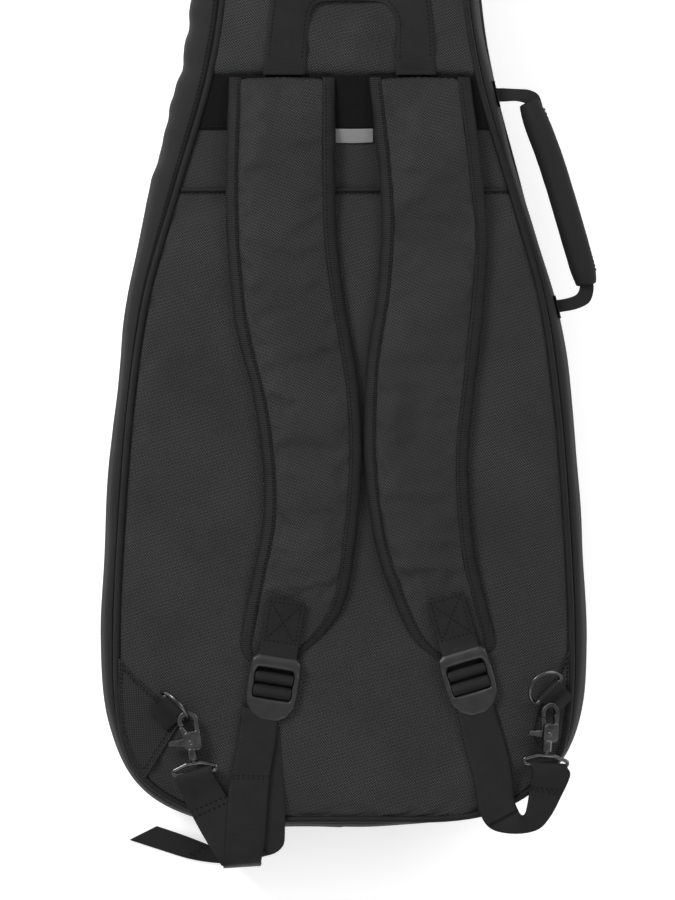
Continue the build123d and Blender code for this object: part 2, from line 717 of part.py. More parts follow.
haul_z = panel_z + yoke_thickness + 0.4
haul_outer = [(-64, seam_y + 2), (-57, 498), (-52, 520), (-38, 533), (4, 537), (48, 533), (62, 520), (68, 498),
              (72.5, seam_y + 2)]
haul_inner = [(41, seam_y + 2), (43, 486), (36, 501), (4, 503), (-19, 501), (-27, 486), (-31, seam_y + 2)]
with BuildPart() as haul_handle:
    with BuildSketch(Plane.XY.offset(haul_z)):
        with BuildLine():
            Polyline(*haul_outer, *haul_inner, close=True)
        make_face()
    extrude(amount=3)
save(haul_handle.part, "haul_handle")

side_handle_z = 75.0
stub_thickness = 5.0
with BuildPart() as side_handle_ends:
    extrude(bag_face(-1.6, side_handle_z - 12), amount=24)
    extrude(bag_face(0, 0), amount=wide, mode=Mode.SUBTRACT)
    add(box_part((-wide, -wide, 0), (0, 1000, wide)), mode=Mode.SUBTRACT)
    add(box_part((0, -wide, 0), (wide, 253, wide)), mode=Mode.SUBTRACT)
    add(box_part((0, 275, 0), (wide, 421, wide)), mode=Mode.SUBTRACT)
    add(box_part((0, 443, 0), (wide, 1000, wide)), mode=Mode.SUBTRACT)
save(side_handle_ends.part, "side_handle_ends")

grip_radius = 10.5
with BuildPart() as side_handle_grip:
    with BuildLine(Plane.XY.offset(side_handle_z)):
        grip_line = ThreePointArc((148, 423), (172, 357), (191.5, 286))
    with BuildSketch(Plane(origin=grip_line @ 0, z_dir=grip_line % 0)):
        Circle(grip_radius)
    sweep()
save(side_handle_grip.part, "side_handle_grip")

with BuildPart() as side_handle_webbing:
    top_stub = [(131.8, 436.5), (149, 434.5), (156, 429), (152, 420), (145.5, 422), (144, 426), (131.8, 428)]
    low_stub = [(175.0, 268.5), (185, 273), (187, 279), (187.5, 286.5), (194.5, 288.5), (197.5, 274), (190, 266),
                (175.0, 260)]
    extrude(outline_face(top_stub, side_handle_z - stub_thickness / 2), amount=stub_thickness)
    extrude(outline_face(low_stub, side_handle_z - stub_thickness / 2), amount=stub_thickness)
    add(side_handle_grip.part, mode=Mode.SUBTRACT)
save(side_handle_webbing.part, "side_handle_webbing")
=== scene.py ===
import math
import bpy
import numpy as np
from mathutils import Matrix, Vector, noise


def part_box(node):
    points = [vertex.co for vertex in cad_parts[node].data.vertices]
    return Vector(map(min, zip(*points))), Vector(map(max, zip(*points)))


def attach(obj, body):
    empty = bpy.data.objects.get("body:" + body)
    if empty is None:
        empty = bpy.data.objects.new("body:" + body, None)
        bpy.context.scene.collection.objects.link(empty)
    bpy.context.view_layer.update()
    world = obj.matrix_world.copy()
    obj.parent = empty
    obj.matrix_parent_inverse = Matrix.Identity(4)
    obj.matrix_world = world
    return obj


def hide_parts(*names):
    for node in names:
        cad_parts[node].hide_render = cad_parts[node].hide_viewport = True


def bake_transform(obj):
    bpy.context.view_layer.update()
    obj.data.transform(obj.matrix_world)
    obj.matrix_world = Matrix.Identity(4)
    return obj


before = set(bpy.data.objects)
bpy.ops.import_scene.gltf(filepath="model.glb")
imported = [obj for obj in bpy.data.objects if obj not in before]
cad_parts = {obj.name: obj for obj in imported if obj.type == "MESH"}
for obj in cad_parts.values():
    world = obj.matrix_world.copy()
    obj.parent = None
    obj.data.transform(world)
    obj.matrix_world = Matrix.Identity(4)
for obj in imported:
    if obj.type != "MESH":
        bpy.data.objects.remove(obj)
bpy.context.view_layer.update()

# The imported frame: metres, X right, Y to the neck, Z out of the back panel. Lengths below are in millimetres.
MM = 0.001
back_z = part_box("back_panel")[1].z / MM
zip_low_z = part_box("front_gusset")[1].z / MM
zip_high_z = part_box("back_gusset")[0].z / MM
zip_z = (zip_low_z + zip_high_z) / 2
front_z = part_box("front_panel")[0].z / MM
tail_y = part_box("back_gusset")[0].y / MM
neck_end_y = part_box("back_gusset")[1].y / MM
seam_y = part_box("yoke_panel")[0].y / MM
band_low_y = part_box("ribbed_band")[0].y / MM
pocket_top_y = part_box("pocket_hem")[1].y / MM
hinge_low_y, hinge_high_y = (corner.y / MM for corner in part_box("hinge_gusset"))

# ---------------------------------------------------------------- outline of the bag

half_outline = [(0, -147), (85, -146), (130, -135), (167, -108), (185, -64), (190.4, 0), (186.5, 95),
                (179, 190), (167, 272), (144, 363), (124, 440), (113, 505), (108, 590), (103, 800),
                (97, 855), (66, 895), (0, 905)]


def smooth_curve(points, per_span=24):
    """A Catmull-Rom curve through given points, as an array."""
    pts = np.array(points, float)
    before = 2 * pts[0] - pts[1]
    after = 2 * pts[-1] - pts[-2]
    pts = np.vstack([before, pts, after])
    steps = np.linspace(0, 1, per_span, endpoint=False)[:, None]
    spans = []
    for a, b, c, d in zip(pts[:-3], pts[1:-2], pts[2:-1], pts[3:]):
        spans.append(0.5 * (2 * b + (c - a) * steps + (2 * a - 5 * b + 4 * c - d) * steps ** 2
                            + (3 * b - a - 3 * c + d) * steps ** 3))
    return np.vstack(spans + [pts[-2:-1]])


def travelled(points):
    """How far along the run each of its points is, from 0 at the first."""
    return np.concatenate([[0], np.cumsum(np.linalg.norm(np.diff(points, axis=0), axis=1))])


def unit(rows):
    """Each row scaled to a length of 1."""
    return rows / np.linalg.norm(rows, axis=1)[:, None]


def evenly(curve, count):
    """The same curve with its points spaced evenly along it."""
    along = travelled(curve)
    at = np.linspace(0, along[-1], count)
    return np.stack([np.interp(at, along, curve[:, k]) for k in range(curve.shape[1])], 1)


def step(low, high, value):
    """A smooth step from 0 to 1."""
    t = np.clip((np.asarray(value, float) - low) / (high - low), 0, 1)
    return t * t * (3 - 2 * t)


right_half = evenly(smooth_curve(half_outline), 421)
right_half[0, 0] = right_half[-1, 0] = 0
whole_outline = np.vstack([right_half, (right_half * [-1, 1])[-2:0:-1]])
outline_count = len(whole_outline)
outline_y = whole_outline[:, 1]
outline_ahead = unit(np.roll(whole_outline, -1, 0) - np.roll(whole_outline, 1, 0))
inward = np.stack([-outline_ahead[:, 1], outline_ahead[:, 0]], 1)
outline_along = travelled(whole_outline)
perimeter = outline_along[-1] + np.linalg.norm(whole_outline[0] - whole_outline[-1])


def seam_inset(y):
    """How far the back piping lies inside the bag's widest outline."""
    return np.interp(y, [tail_y, -92, -47, 0, 284, 357, 445, 505, 905], [4, 5, 8, 9.5, 9.8, 12, 15, 15.5, 12])


def moved_in(inset):
    """The closed outline moved in, by one number or by one number a point."""
    return whole_outline + inward * np.broadcast_to(inset, outline_count)[:, None]


def slumped(xy):
    """The soft gusset lies over to the left beside the neck, and its right tail corner is drawn up."""
    out = xy.copy()
    out[:, 0] -= 7 * step(215, 370, xy[:, 1]) * (1 - 0.6 * step(560, 760, xy[:, 1]))
    out[:, 1] += 8 * step(10, 150, xy[:, 0]) * (1 - step(-130, -60, xy[:, 1]))
    return out


def rough(x, y, size, seed=0.0):
    """Smooth noise over a grid of points, about -1 to 1, with bumps of about that size."""
    flat = [noise.noise(Vector((a / size, b / size, seed))) for a, b in zip(np.ravel(x), np.ravel(y))]
    return np.array(flat).reshape(np.shape(x)) * 1.6


# ---------------------------------------------------------------- materials

def node_tree(name):
    """A new material with its principled shader."""
    material = bpy.data.materials.new(name)
    material.use_nodes = True
    shader = material.node_tree.nodes["Principled BSDF"]
    return material, material.node_tree, shader


def maths(tree, operation, a, b=None):
    """One Math node. a and b are numbers or sockets."""
    node = tree.nodes.new("ShaderNodeMath")
    node.operation = operation
    for socket, value in zip(node.inputs, (a, b)):
        if value is None:
            continue
        if isinstance(value, (int, float)):
            socket.default_value = value
        else:
            tree.links.new(value, socket)
    return node.outputs[0]


def times(tree, a, b):
    return maths(tree, "MULTIPLY", a, b)


def plus(tree, a, b):
    return maths(tree, "ADD", a, b)


def ridges(tree, axis, rate=math.pi):
    """Rounded threads side by side along an axis."""
    return maths(tree, "ABSOLUTE", maths(tree, "SINE", times(tree, axis, rate)))


def uv_axes(tree, cell, turn=0.0):
    """The UV map (metres) counted in cells of that size in millimetres, after a turn in degrees."""
    uv = tree.nodes.new("ShaderNodeUVMap")
    mapping = tree.nodes.new("ShaderNodeMapping")
    mapping.inputs["Rotation"].default_value = (0, 0, math.radians(turn))
    mapping.inputs["Scale"].default_value = (1 / (cell * MM),) * 3
    tree.links.new(uv.outputs[0], mapping.inputs["Vector"])
    apart = tree.nodes.new("ShaderNodeSeparateXYZ")
    tree.links.new(mapping.outputs[0], apart.inputs[0])
    return mapping.outputs[0], apart.outputs[0], apart.outputs[1]


def object_noise(tree, size, detail=3.0):
    """Noise in the object's own space, with features of that size in millimetres."""
    place = tree.nodes.new("ShaderNodeTexCoord")
    node = tree.nodes.new("ShaderNodeTexNoise")
    node.inputs["Scale"].default_value = 1 / (size * MM)
    node.inputs["Detail"].default_value = detail
    tree.links.new(place.outputs["Object"], node.inputs["Vector"])
    return node.outputs[0]


def ramp(tree, factor, stops):
    """A colour ramp. stops are (position, colour)."""
    node = tree.nodes.new("ShaderNodeValToRGB")
    tree.links.new(factor, node.inputs[0])
    elements = node.color_ramp.elements
    while len(elements) < len(stops):
        elements.new(0.5)
    for element, (position, colour) in zip(elements, stops):
        element.position = position
        element.color = (*colour, 1)
    return node.outputs[0]


def bumped(tree, shader, height, strength, distance):
    """Gives the shader a bump from a height."""
    bump = tree.nodes.new("ShaderNodeBump")
    bump.inputs["Strength"].default_value = strength
    bump.inputs["Distance"].default_value = distance * MM
    tree.links.new(height, bump.inputs["Height"])
    tree.links.new(bump.outputs[0], shader.inputs["Normal"])


def grey(value, tint=0.0):
    """A grey, with a little more blue by the share given as tint."""
    return (value, value, value * (1 + tint))


def weave_material(name, cell, turn, dark, light, roughness, depth, wear=0.25, shine=0.2):
    """Basket weave: warp and weft threads in turn, each one rounded, with slow patches of wear. The colour
    follows the thread height, so the thread crowns are painted lighter: painted glints.
    """
    material, tree, shader = node_tree(name)
    vector, across, along = uv_axes(tree, cell, turn)
    warp = ridges(tree, across)
    weft = ridges(tree, along)
    checker = tree.nodes.new("ShaderNodeTexChecker")
    checker.inputs["Scale"].default_value = 1.0
    checker.inputs["Color1"].default_value = (1, 1, 1, 1)
    checker.inputs["Color2"].default_value = (0, 0, 0, 1)
    tree.links.new(vector, checker.inputs["Vector"])
    over = checker.outputs["Fac"]
    under = maths(tree, "SUBTRACT", 1.0, over)
    height = plus(tree, times(tree, times(tree, warp, weft), over), times(tree, times(tree, weft, under), 0.4))
    patches = object_noise(tree, 60)
    wear_and_glints = times(tree, height, plus(tree, times(tree, patches, 2 * wear), 1 - wear))
    middle = tuple(a * 0.72 + b * 0.28 for a, b in zip(dark, light))
    # Painted glints: the colour ramp makes the thread crowns light, more so where the slow wear patches are
    # high.
    tree.links.new(ramp(tree, wear_and_glints, [(0.1, dark), (0.6, middle), (1.0, light)]), shader.inputs["Base Color"])
    tree.links.new(maths(tree, "SUBTRACT", roughness + 0.1, times(tree, height, 0.2)),
                   shader.inputs["Roughness"])
    shader.inputs["Specular IOR Level"].default_value = shine
    bumped(tree, shader, height, depth, 0.5)
    return material


def ribbed_material(name, cell, dark, light, roughness, depth, across_ribs=True, herring=0.0):
    """Webbing or tape: fine ribs, crossed by a finer thread. The colour follows the rib height, so the rib
    crowns are painted lighter: a painted highlight, with random fuzz in its tone.
    """
    material, tree, shader = node_tree(name)
    _, across, along = uv_axes(tree, cell)
    first, second = (along, across) if across_ribs else (across, along)
    if herring:
        first = plus(tree, first, times(tree, maths(tree, "PINGPONG", second, 3.0), herring))
    rib = ridges(tree, first)
    fine_thread = ridges(tree, second, math.pi * 0.8)
    height = plus(tree, times(tree, rib, 0.75), times(tree, fine_thread, 0.25))
    fuzz = object_noise(tree, 14)
    tone = times(tree, height, plus(tree, fuzz, 0.5))
    # Painted highlight: the rib crowns get the light colour, scaled by random fuzz.
    tree.links.new(ramp(tree, tone, [(0.1, dark), (0.9, light)]), shader.inputs["Base Color"])
    shader.inputs["Roughness"].default_value = roughness
    shader.inputs["Specular IOR Level"].default_value = 0.14
    bumped(tree, shader, height, depth, 0.4)
    return material


def moulded_material(name, colour, roughness, grain, metallic=0.0, scratch=0.0):
    """Moulded plastic or plated metal, with a fine grain and a little wear."""
    material, tree, shader = node_tree(name)
    fine = object_noise(tree, grain, 4.0)
    broad = object_noise(tree, 9.0)
    light = tuple(min(1, c * (1.35 + scratch)) for c in colour)
    dark = tuple(c * 0.8 for c in colour)
    tree.links.new(ramp(tree, broad, [(0.3, dark), (0.7, light)]), shader.inputs["Base Color"])
    tree.links.new(plus(tree, times(tree, fine, 0.22), roughness - 0.1), shader.inputs["Roughness"])
    shader.inputs["Metallic"].default_value = metallic
    bumped(tree, shader, fine, 0.25, 0.12)
    return material


def plush_material(name, colour):
    """Brushed lining: short fibres, soft sheen."""
    material, tree, shader = node_tree(name)
    fibres = object_noise(tree, 0.9, 5.0)
    patches = object_noise(tree, 40.0)
    tone = plus(tree, times(tree, fibres, 0.6), times(tree, patches, 0.4))
    dark = tuple(c * 0.6 for c in colour)
    tree.links.new(ramp(tree, tone, [(0.3, dark), (0.7, colour)]), shader.inputs["Base Color"])
    shader.inputs["Roughness"].default_value = 0.95
    shader.inputs["Sheen Weight"].default_value = 0.5
    shader.inputs["Sheen Roughness"].default_value = 0.4
    bumped(tree, shader, fibres, 0.6, 0.8)
    return material


# In the weave materials, light is the colour of the painted glints on the thread crowns.
outer_weave = weave_material("outer_weave", 1.1, 7, grey(0.003, 0.03), grey(0.13, 0.03), 0.5, 1.0)
pad_weave = weave_material("pad_weave", 1.1, -9, grey(0.003, 0.03), grey(0.115, 0.03), 0.5, 1.0)
patch_weave = weave_material("patch_weave", 1.3, 41, grey(0.006, 0.03), grey(0.06, 0.03), 0.55, 0.8)
gusset_weave = weave_material("gusset_weave", 0.9, 0, grey(0.006, 0.03), grey(0.036, 0.03), 0.6, 0.35,
                              shine=0.15)
# In the ribbed materials, light is the colour of the painted highlight on the rib crowns.
tape = ribbed_material("edge_tape", 0.8, grey(0.003), grey(0.013), 0.6, 0.5)
webbing = ribbed_material("webbing", 1.0, grey(0.003), grey(0.015), 0.55, 0.6, True, 0.06)
binding_tape = ribbed_material("binding_tape", 1.5, grey(0.003), grey(0.016), 0.6, 0.9)
elastic = ribbed_material("ribbed_elastic", 1.6, grey(0.001), grey(0.003), 0.85, 1.0, False)
thread = ribbed_material("thread", 0.5, grey(0.002), grey(0.010), 0.6, 0.3)
label_weave = ribbed_material("label_weave", 0.7, grey(0.10), grey(0.20), 0.6, 0.4)
plush = plush_material("lining_plush", grey(0.045, 0.1))
zip_coil = moulded_material("zip_coil", grey(0.015), 0.45, 0.6)
buckle_plastic = moulded_material("buckle_plastic", grey(0.012, 0.04), 0.42, 0.35)
gunmetal = moulded_material("gunmetal", grey(0.075, 0.03), 0.27, 0.5, 1.0, 0.5)

# ---------------------------------------------------------------- mesh helpers

made = {}


def new_piece(name, vertices, faces, uvs, material):
    """A mesh object in metres from millimetre points, with UVs in metres."""
    mesh = bpy.data.meshes.new(name)
    mesh.from_pydata((np.asarray(vertices, float) * MM).tolist(), [], faces)
    layer = mesh.uv_layers.new(name="UVMap")
    layer.data.foreach_set("uv", (np.asarray(uvs, np.float32) * MM).ravel())
    mesh.materials.append(material)
    mesh.validate()
    mesh.polygons.foreach_set("use_smooth", [True] * len(mesh.polygons))
    piece = bpy.data.objects.new(name, mesh)
    bpy.context.scene.collection.objects.link(piece)
    made[name] = piece
    return piece


def grid_piece(name, points, u, v, material, wrap_u=0.0, caps=False):
    """A quad grid. points is rows by columns by 3, u and v are rows by columns. wrap_u closes each row."""
    rows, columns = points.shape[:2]
    faces = []
    uvs = []
    last = columns if wrap_u else columns - 1
    for r in range(rows - 1):
        for c in range(last):
            n = (c + 1) % columns
            faces.append((r * columns + c, r * columns + n, (r + 1) * columns + n, (r + 1) * columns + c))
            un = [u[r, n], u[r + 1, n]] if n else [u[r, 0] + wrap_u, u[r + 1, 0] + wrap_u]
            uvs += [(u[r, c], v[r, c]), (un[0], v[r, n]), (un[1], v[r + 1, n]), (u[r + 1, c], v[r + 1, c])]
    if caps:
        for r, order in ((0, -1), (rows - 1, 1)):
            ring = [r * columns + c for c in range(columns)][::order]
            faces.append(tuple(ring))
            uvs += [(points[r, i % columns, 0], points[r, i % columns, 1]) for i in ring]
    return new_piece(name, points.reshape(-1, 3), faces, uvs, material)


def rings_piece(name, rings, material):
    """Closed rings of points joined one to the next, with UVs straight down from above."""
    points = np.array(rings)
    rows, columns = points.shape[:2]
    faces = []
    for r in range(rows - 1):
        for c in range(columns):
            n = (c + 1) % columns
            faces.append((r * columns + c, r * columns + n, (r + 1) * columns + n, (r + 1) * columns + c))
    flat = points.reshape(-1, 3)
    uvs = [(flat[i][0], flat[i][1]) for face in faces for i in face]
    return new_piece(name, flat, faces, uvs, material)


def settle(piece, *modifiers):
    """Adds modifiers, given as (type, settings), and applies them all to the mesh."""
    for kind, settings in modifiers:
        modifier = piece.modifiers.new(kind.lower(), kind)
        for key, value in settings.items():
            setattr(modifier, key, value)
    graph = bpy.context.evaluated_depsgraph_get()
    mesh = bpy.data.meshes.new_from_object(piece.evaluated_get(graph))
    piece.modifiers.clear()
    old = piece.data
    piece.data = mesh
    bpy.data.meshes.remove(old)
    mesh.polygons.foreach_set("use_smooth", [True] * len(mesh.polygons))
    return piece


def thickened(piece, thickness, offset=-1.0):
    return settle(piece, ("SOLIDIFY", {"thickness": thickness * MM, "offset": offset}))


def tube(name, spots, radius, material, sides=10, closed=False):
    """A round tube along points."""
    spots = np.asarray(spots, float)
    if closed:
        ahead = np.roll(spots, -1, 0) - np.roll(spots, 1, 0)
    else:
        ahead = np.gradient(spots, axis=0)
    ahead = unit(ahead)
    side = unit(np.cross(ahead, [0, 0, 1.0]))
    top = np.cross(side, ahead)
    turn = np.linspace(0, 2 * math.pi, sides, endpoint=False)
    points = np.stack([spots + radius * (side * math.cos(a) + top * math.sin(a)) for a in turn], 1)
    if closed:
        points = np.concatenate([points, points[:1]], 0)
        spots = np.vstack([spots, spots[:1]])
    v = np.tile(travelled(spots)[:, None], (1, sides))
    u = np.tile(turn * radius, (len(spots), 1))
    piece = grid_piece(name, points, u, v, material, wrap_u=2 * math.pi * radius, caps=not closed)
    if closed:
        settle(piece, ("WELD", {"merge_threshold": 0.01 * MM}))
    return piece


def stitched(name, paths, pitch=3.4, length=2.4, radius=0.42):
    """Rows of single stitches along paths of points, each a small pointed grain of thread."""
    vertices = []
    faces = []
    for path in paths:
        path = np.asarray(path, float)
        total = np.sum(np.linalg.norm(np.diff(path, axis=0), axis=1))
        spots = evenly(path, max(3, int(total / pitch)))
        ahead = unit(np.gradient(spots, axis=0))
        side = np.cross(ahead, [0, 0, 1.0])
        side /= np.maximum(np.linalg.norm(side, axis=1), 1e-6)[:, None]
        top = np.cross(side, ahead)
        for spot, a, s, t in zip(spots, ahead, side, top):
            base = len(vertices)
            half = length / 2
            vertices += [spot - a * half - t * radius * 0.6, spot + a * half - t * radius * 0.6]
            for shift in (-0.45, 0.45):
                middle = spot + a * half * shift
                vertices += [middle + way * radius for way in (s, t, -s, -t)]
            for k in range(4):
                n = (k + 1) % 4
                faces.append((base, base + 2 + n, base + 2 + k))
                faces.append((base + 2 + k, base + 2 + n, base + 6 + n, base + 6 + k))
                faces.append((base + 1, base + 6 + k, base + 6 + n))
    uvs = [(vertices[i][0], vertices[i][1]) for face in faces for i in face]
    return new_piece(name, vertices, faces, uvs, thread)


def inflated(piece, pinned, pressure, slack, cap, frames=20):
    """Blows a piece up as cloth from its own mesh, sewn down at the pinned points, and keeps that shape."""
    before = np.empty(len(piece.data.vertices) * 3, np.float32)
    piece.data.vertices.foreach_get("co", before)
    group = piece.vertex_groups.new(name="seam")
    group.add([int(i) for i in pinned], 1.0, "REPLACE")
    cloth = piece.modifiers.new("cloth", "CLOTH")
    settings = cloth.settings
    settings.quality = 6
    settings.mass = 0.25
    settings.air_damping = 4
    settings.tension_stiffness = 18
    settings.compression_stiffness = 12
    settings.shear_stiffness = 6
    settings.bending_stiffness = 0.6
    settings.use_pressure = True
    settings.uniform_pressure_force = pressure
    settings.shrink_min = -slack
    settings.shrink_max = -slack
    settings.effector_weights.gravity = 0
    settings.vertex_group_mass = "seam"
    cloth.collision_settings.use_self_collision = False
    cloth.point_cache.frame_start = 1
    cloth.point_cache.frame_end = frames
    for number in range(1, frames + 1):
        bpy.context.scene.frame_set(number)
    settle(piece)
    after = np.empty_like(before)
    piece.data.vertices.foreach_get("co", after)
    moved = (after - before).reshape(-1, 3)
    far = np.linalg.norm(moved, axis=1)
    scale = np.minimum(1, cap * MM / np.maximum(far, 1e-9))
    kept = before.reshape(-1, 3) + moved * scale[:, None]
    piece.data.vertices.foreach_set("co", kept.astype(np.float32).ravel())
    piece.data.update()
    bpy.context.scene.frame_set(1)
    piece.vertex_groups.clear()
    return piece


def done(piece, body, slot, *nodes, fill=None):
    """Rides the piece on its body and hides the CAD parts that it stands for. slot and fill are not used."""
    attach(piece, body)
    if nodes:
        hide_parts(*nodes)
    return piece


# ---------------------------------------------------------------- gussets, zip, hinge stretch

on_hinge = (whole_outline[:, 0] < 0) & (outline_y > hinge_low_y) & (outline_y < hinge_high_y)
hinge_columns = np.flatnonzero(on_hinge)
zip_columns = np.arange(hinge_columns[-1], hinge_columns[0] + 1 + outline_count) % outline_count
hinge_columns = np.arange(hinge_columns[0], hinge_columns[-1] + 1)


def band(name, profile, material, columns=None, puckers=1.0, held=1000.0):
    """A band of fabric round the bag. profile is rows of (inset, height). It slumps less where held."""
    rows = []
    for inset, height in profile:
        xy = moved_in(inset)
        loose = np.clip(1 - inset / held, 0, 1) * np.ones(outline_count)
        xy = xy + (slumped(xy) - xy) * loose[:, None]
        z = np.broadcast_to(height, outline_count)
        rows.append(np.column_stack([xy, z]))
    points = np.array(rows)
    if puckers:
        weight = np.sin(np.linspace(0.05, math.pi - 0.05, len(profile)))[:, None]
        soft = 0.6 + 1.1 * rough(outline_along[None, :] + 0 * weight, points[:, :, 2], 55, 3.0)
        neck_left = step(330, 400, outline_y) * (whole_outline[:, 0] < 0) * (1 - step(600, 720, outline_y))
        fine = 2.2 * rough(outline_along[None, :] + 0 * weight, points[:, :, 2] * 0.3, 17, 8.0) * neck_left
        out = -(soft + fine) * weight * puckers
        points[:, :, :2] += inward[None] * out[:, :, None]
    along = np.tile(outline_along, (len(profile), 1))
    height = np.zeros(points.shape[:2])
    height[1:] = np.cumsum(np.linalg.norm(np.diff(points, axis=0), axis=2), axis=0)
    if columns is None:
        return grid_piece(name, points, along, height, material, wrap_u=perimeter)
    u = np.arange(len(columns)) * perimeter / outline_count
    return grid_piece(name, points[:, columns], np.tile(u, (len(profile), 1)), height[:, columns], material)


seam = seam_inset(outline_y)
back_profile = [(0.8, zip_high_z), (-0.6, 62), (-1.6, 68), (-2.0, 75), (-1.2, 82), (0.8, 87.5),
                (0.22 * seam, 92), (0.45 * seam, 95.2), (0.72 * seam, 97.0), (seam + 0.5, 97.4)]
back_gusset = thickened(band("back_gusset_cover", back_profile, gusset_weave, held=seam), 1.2)
done(back_gusset, "back_half", "gusset_fabric", "back_gusset")

front_round = 9.0
front_profile = [(0.8, zip_low_z), (-0.6, 42), (-1.6, 36), (-1.6, 29), (-0.6, 22), (1.2, 17), (4.0, 13),
                 (front_round, 11.0)]
front_gusset = thickened(band("front_gusset_cover", front_profile, gusset_weave, held=front_round), 1.2, 1.0)
done(front_gusset, "front_half", "gusset_fabric", "front_gusset")

hinge_profile = [(0.9, zip_low_z - 0.5), (-0.4, 49), (-0.8, zip_z), (-0.4, 55), (0.9, zip_high_z + 0.5)]
hinge_cover = thickened(band("hinge_gusset_cover", hinge_profile, gusset_weave, hinge_columns), 1.2)
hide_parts("hinge_gusset")
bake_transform(hinge_cover)

zip_gap = 0.5
zip_tapes = (("front_tape", "front_half", "front_zip_tape", zip_low_z - 1, zip_z - zip_gap),
             ("back_tape", "back_half", "back_zip_tape", zip_z + zip_gap, zip_high_z + 1))
for name, body, node, low, high in zip_tapes:
    tape_profile = [(1.2, low), (1.0, (low + high) / 2), (1.2, high)]
    done(thickened(band(name, tape_profile, tape, zip_columns, 0.0), 0.8), body, "zip_chain", node)


def coil_teeth(name, body, side):
    """One row of the zip's coil: small rounded loops, which mesh with the other row's."""
    pitch = 2.6
    line = slumped(moved_in(1.2))[zip_columns]
    line = evenly(line, int(outline_along[-1] / pitch))
    ahead = unit(np.gradient(line, axis=0))
    out = np.stack([ahead[:, 1], -ahead[:, 0]], 1)
    half_step = pitch / 2 if side > 0 else 0.0
    vertices = []
    faces = []
    for spot, a, o in zip(line + ahead * half_step, ahead, out):
        base = len(vertices)
        for z, wide, proud in ((zip_z + side * 3.0, 0.55, 0.5), (zip_z + side * 1.2, 0.62, 1.0),
                               (zip_z - side * 0.7, 0.75, 0.7)):
            for along_shift, out_shift in ((-wide, 0.0), (-wide, proud), (wide, proud), (wide, 0.0)):
                xy = spot + a * along_shift + o * (out_shift + 0.1)
                vertices.append((xy[0], xy[1], z))
        for level in (0, 4):
            for k in range(4):
                n = (k + 1) % 4
                faces.append((base + level + k, base + level + n, base + level + 4 + n, base + level + 4 + k))
        faces.append((base + 3, base + 2, base + 1, base))
        faces.append((base + 8, base + 9, base + 10, base + 11))
    uvs = [(vertices[i][0], vertices[i][2]) for face in faces for i in face]
    teeth = new_piece(name, vertices, faces, uvs, zip_coil)
    done(teeth, body, "zip_chain")


coil_teeth("front_teeth", "front_half", -1)
coil_teeth("back_teeth", "back_half", 1)

# ---------------------------------------------------------------- piping and its stitches

back_pipe_line = np.column_stack([moved_in(seam + 1.5), np.full(outline_count, 98.4)])
pipe = tube("back_piping_cord", back_pipe_line, 2.7, tape, 12, closed=True)
done(pipe, "back_half", "binding", "back_piping")
front_pipe_line = np.column_stack([moved_in(front_round + 0.5), np.full(outline_count, 9.4)])
pipe = tube("front_piping_cord", front_pipe_line, 2.4, tape, 12, closed=True)
done(pipe, "front_half", "binding", "front_piping")
stitch_inset = 0.76 * seam
closed_line = moved_in(stitch_inset) * 0.76 + slumped(moved_in(stitch_inset)) * 0.24
closed_line = np.column_stack([closed_line, np.full(outline_count, 97.6)])
done(stitched("gusset_stitches", [np.vstack([closed_line, closed_line[:1]])]), "back_half", "webbing")

# ---------------------------------------------------------------- sewn panels of the back

panel_edge = moved_in(seam + 3.0)[: len(right_half)]


def half_width(y):
    """Half the width of the back panels at y, out to the piping."""
    return np.interp(y, panel_edge[:, 1], panel_edge[:, 0])


def back_sheet(name, low_y, high_y, height, material, rows, columns, power=1.0, thickness=1.4, blown=0.0):
    """A panel sewn in from piping to piping. height(x, y, share) is its face; share is x over half width."""
    ys = low_y + (high_y - low_y) * np.linspace(0, 1, rows) ** power
    share = np.linspace(-1, 1, columns)
    share = np.sign(share) * (1 - (1 - np.abs(share)) ** 1.3)
    x = half_width(ys)[:, None] * share[None, :]
    y = np.tile(ys[:, None], (1, columns))
    z = height(x, y, np.tile(share, (rows, 1)))
    points = np.stack([x, y, z], 2)
    piece = grid_piece(name, points, x, y, material)
    if blown:
        sewn = [r * columns + c for r in range(rows) for c in range(columns)
                if r < 2 or r > rows - 3 or c < 2 or c > columns - 3]
        inflated(piece, sewn, 0.5, 0.012, blown)
    return thickened(piece, thickness)


def pocket_height(x, y, share):
    fall = 1 - np.abs(share) ** 5
    tail = step(tail_y + 4, tail_y + 46, y)
    mouth = 0.6 + 0.4 * (1 - step(pocket_top_y - 40, pocket_top_y, y))
    return 98.0 + 4.7 * fall * tail * mouth + 0.35 * rough(x, y, 70, 1.0) * fall


pocket_low_y = panel_edge[np.searchsorted(panel_edge[:, 0], 70), 1]
pocket = back_sheet("back_pocket_cover", pocket_low_y, pocket_top_y, pocket_height, outer_weave, 120, 71, 1.4,
                    blown=1.6)
done(pocket, "back_half", "outer_weave", "back_pocket_panel", fill=0.3)


def bay_height(x, y, share):
    return 97.6 + 1.6 * (1 - np.abs(share) ** 4) + 0.3 * rough(x, y, 50, 2.0)


bay = back_sheet("back_panel_cover", pocket_top_y - 30, band_low_y + 4, bay_height, outer_weave, 30, 41)
done(bay, "back_half", "outer_weave", "back_panel", fill=0.4)


def band_height(x, y, share):
    return 98.4 + 1.4 * (1 - np.abs(share) ** 4) + 0.4 * rough(x, y, 45, 5.0)


elastic_band = back_sheet("elastic_band", band_low_y, seam_y + 2, band_height, elastic, 24, 61, 1.0, 1.6)
done(elastic_band, "back_half", "webbing", "ribbed_band")


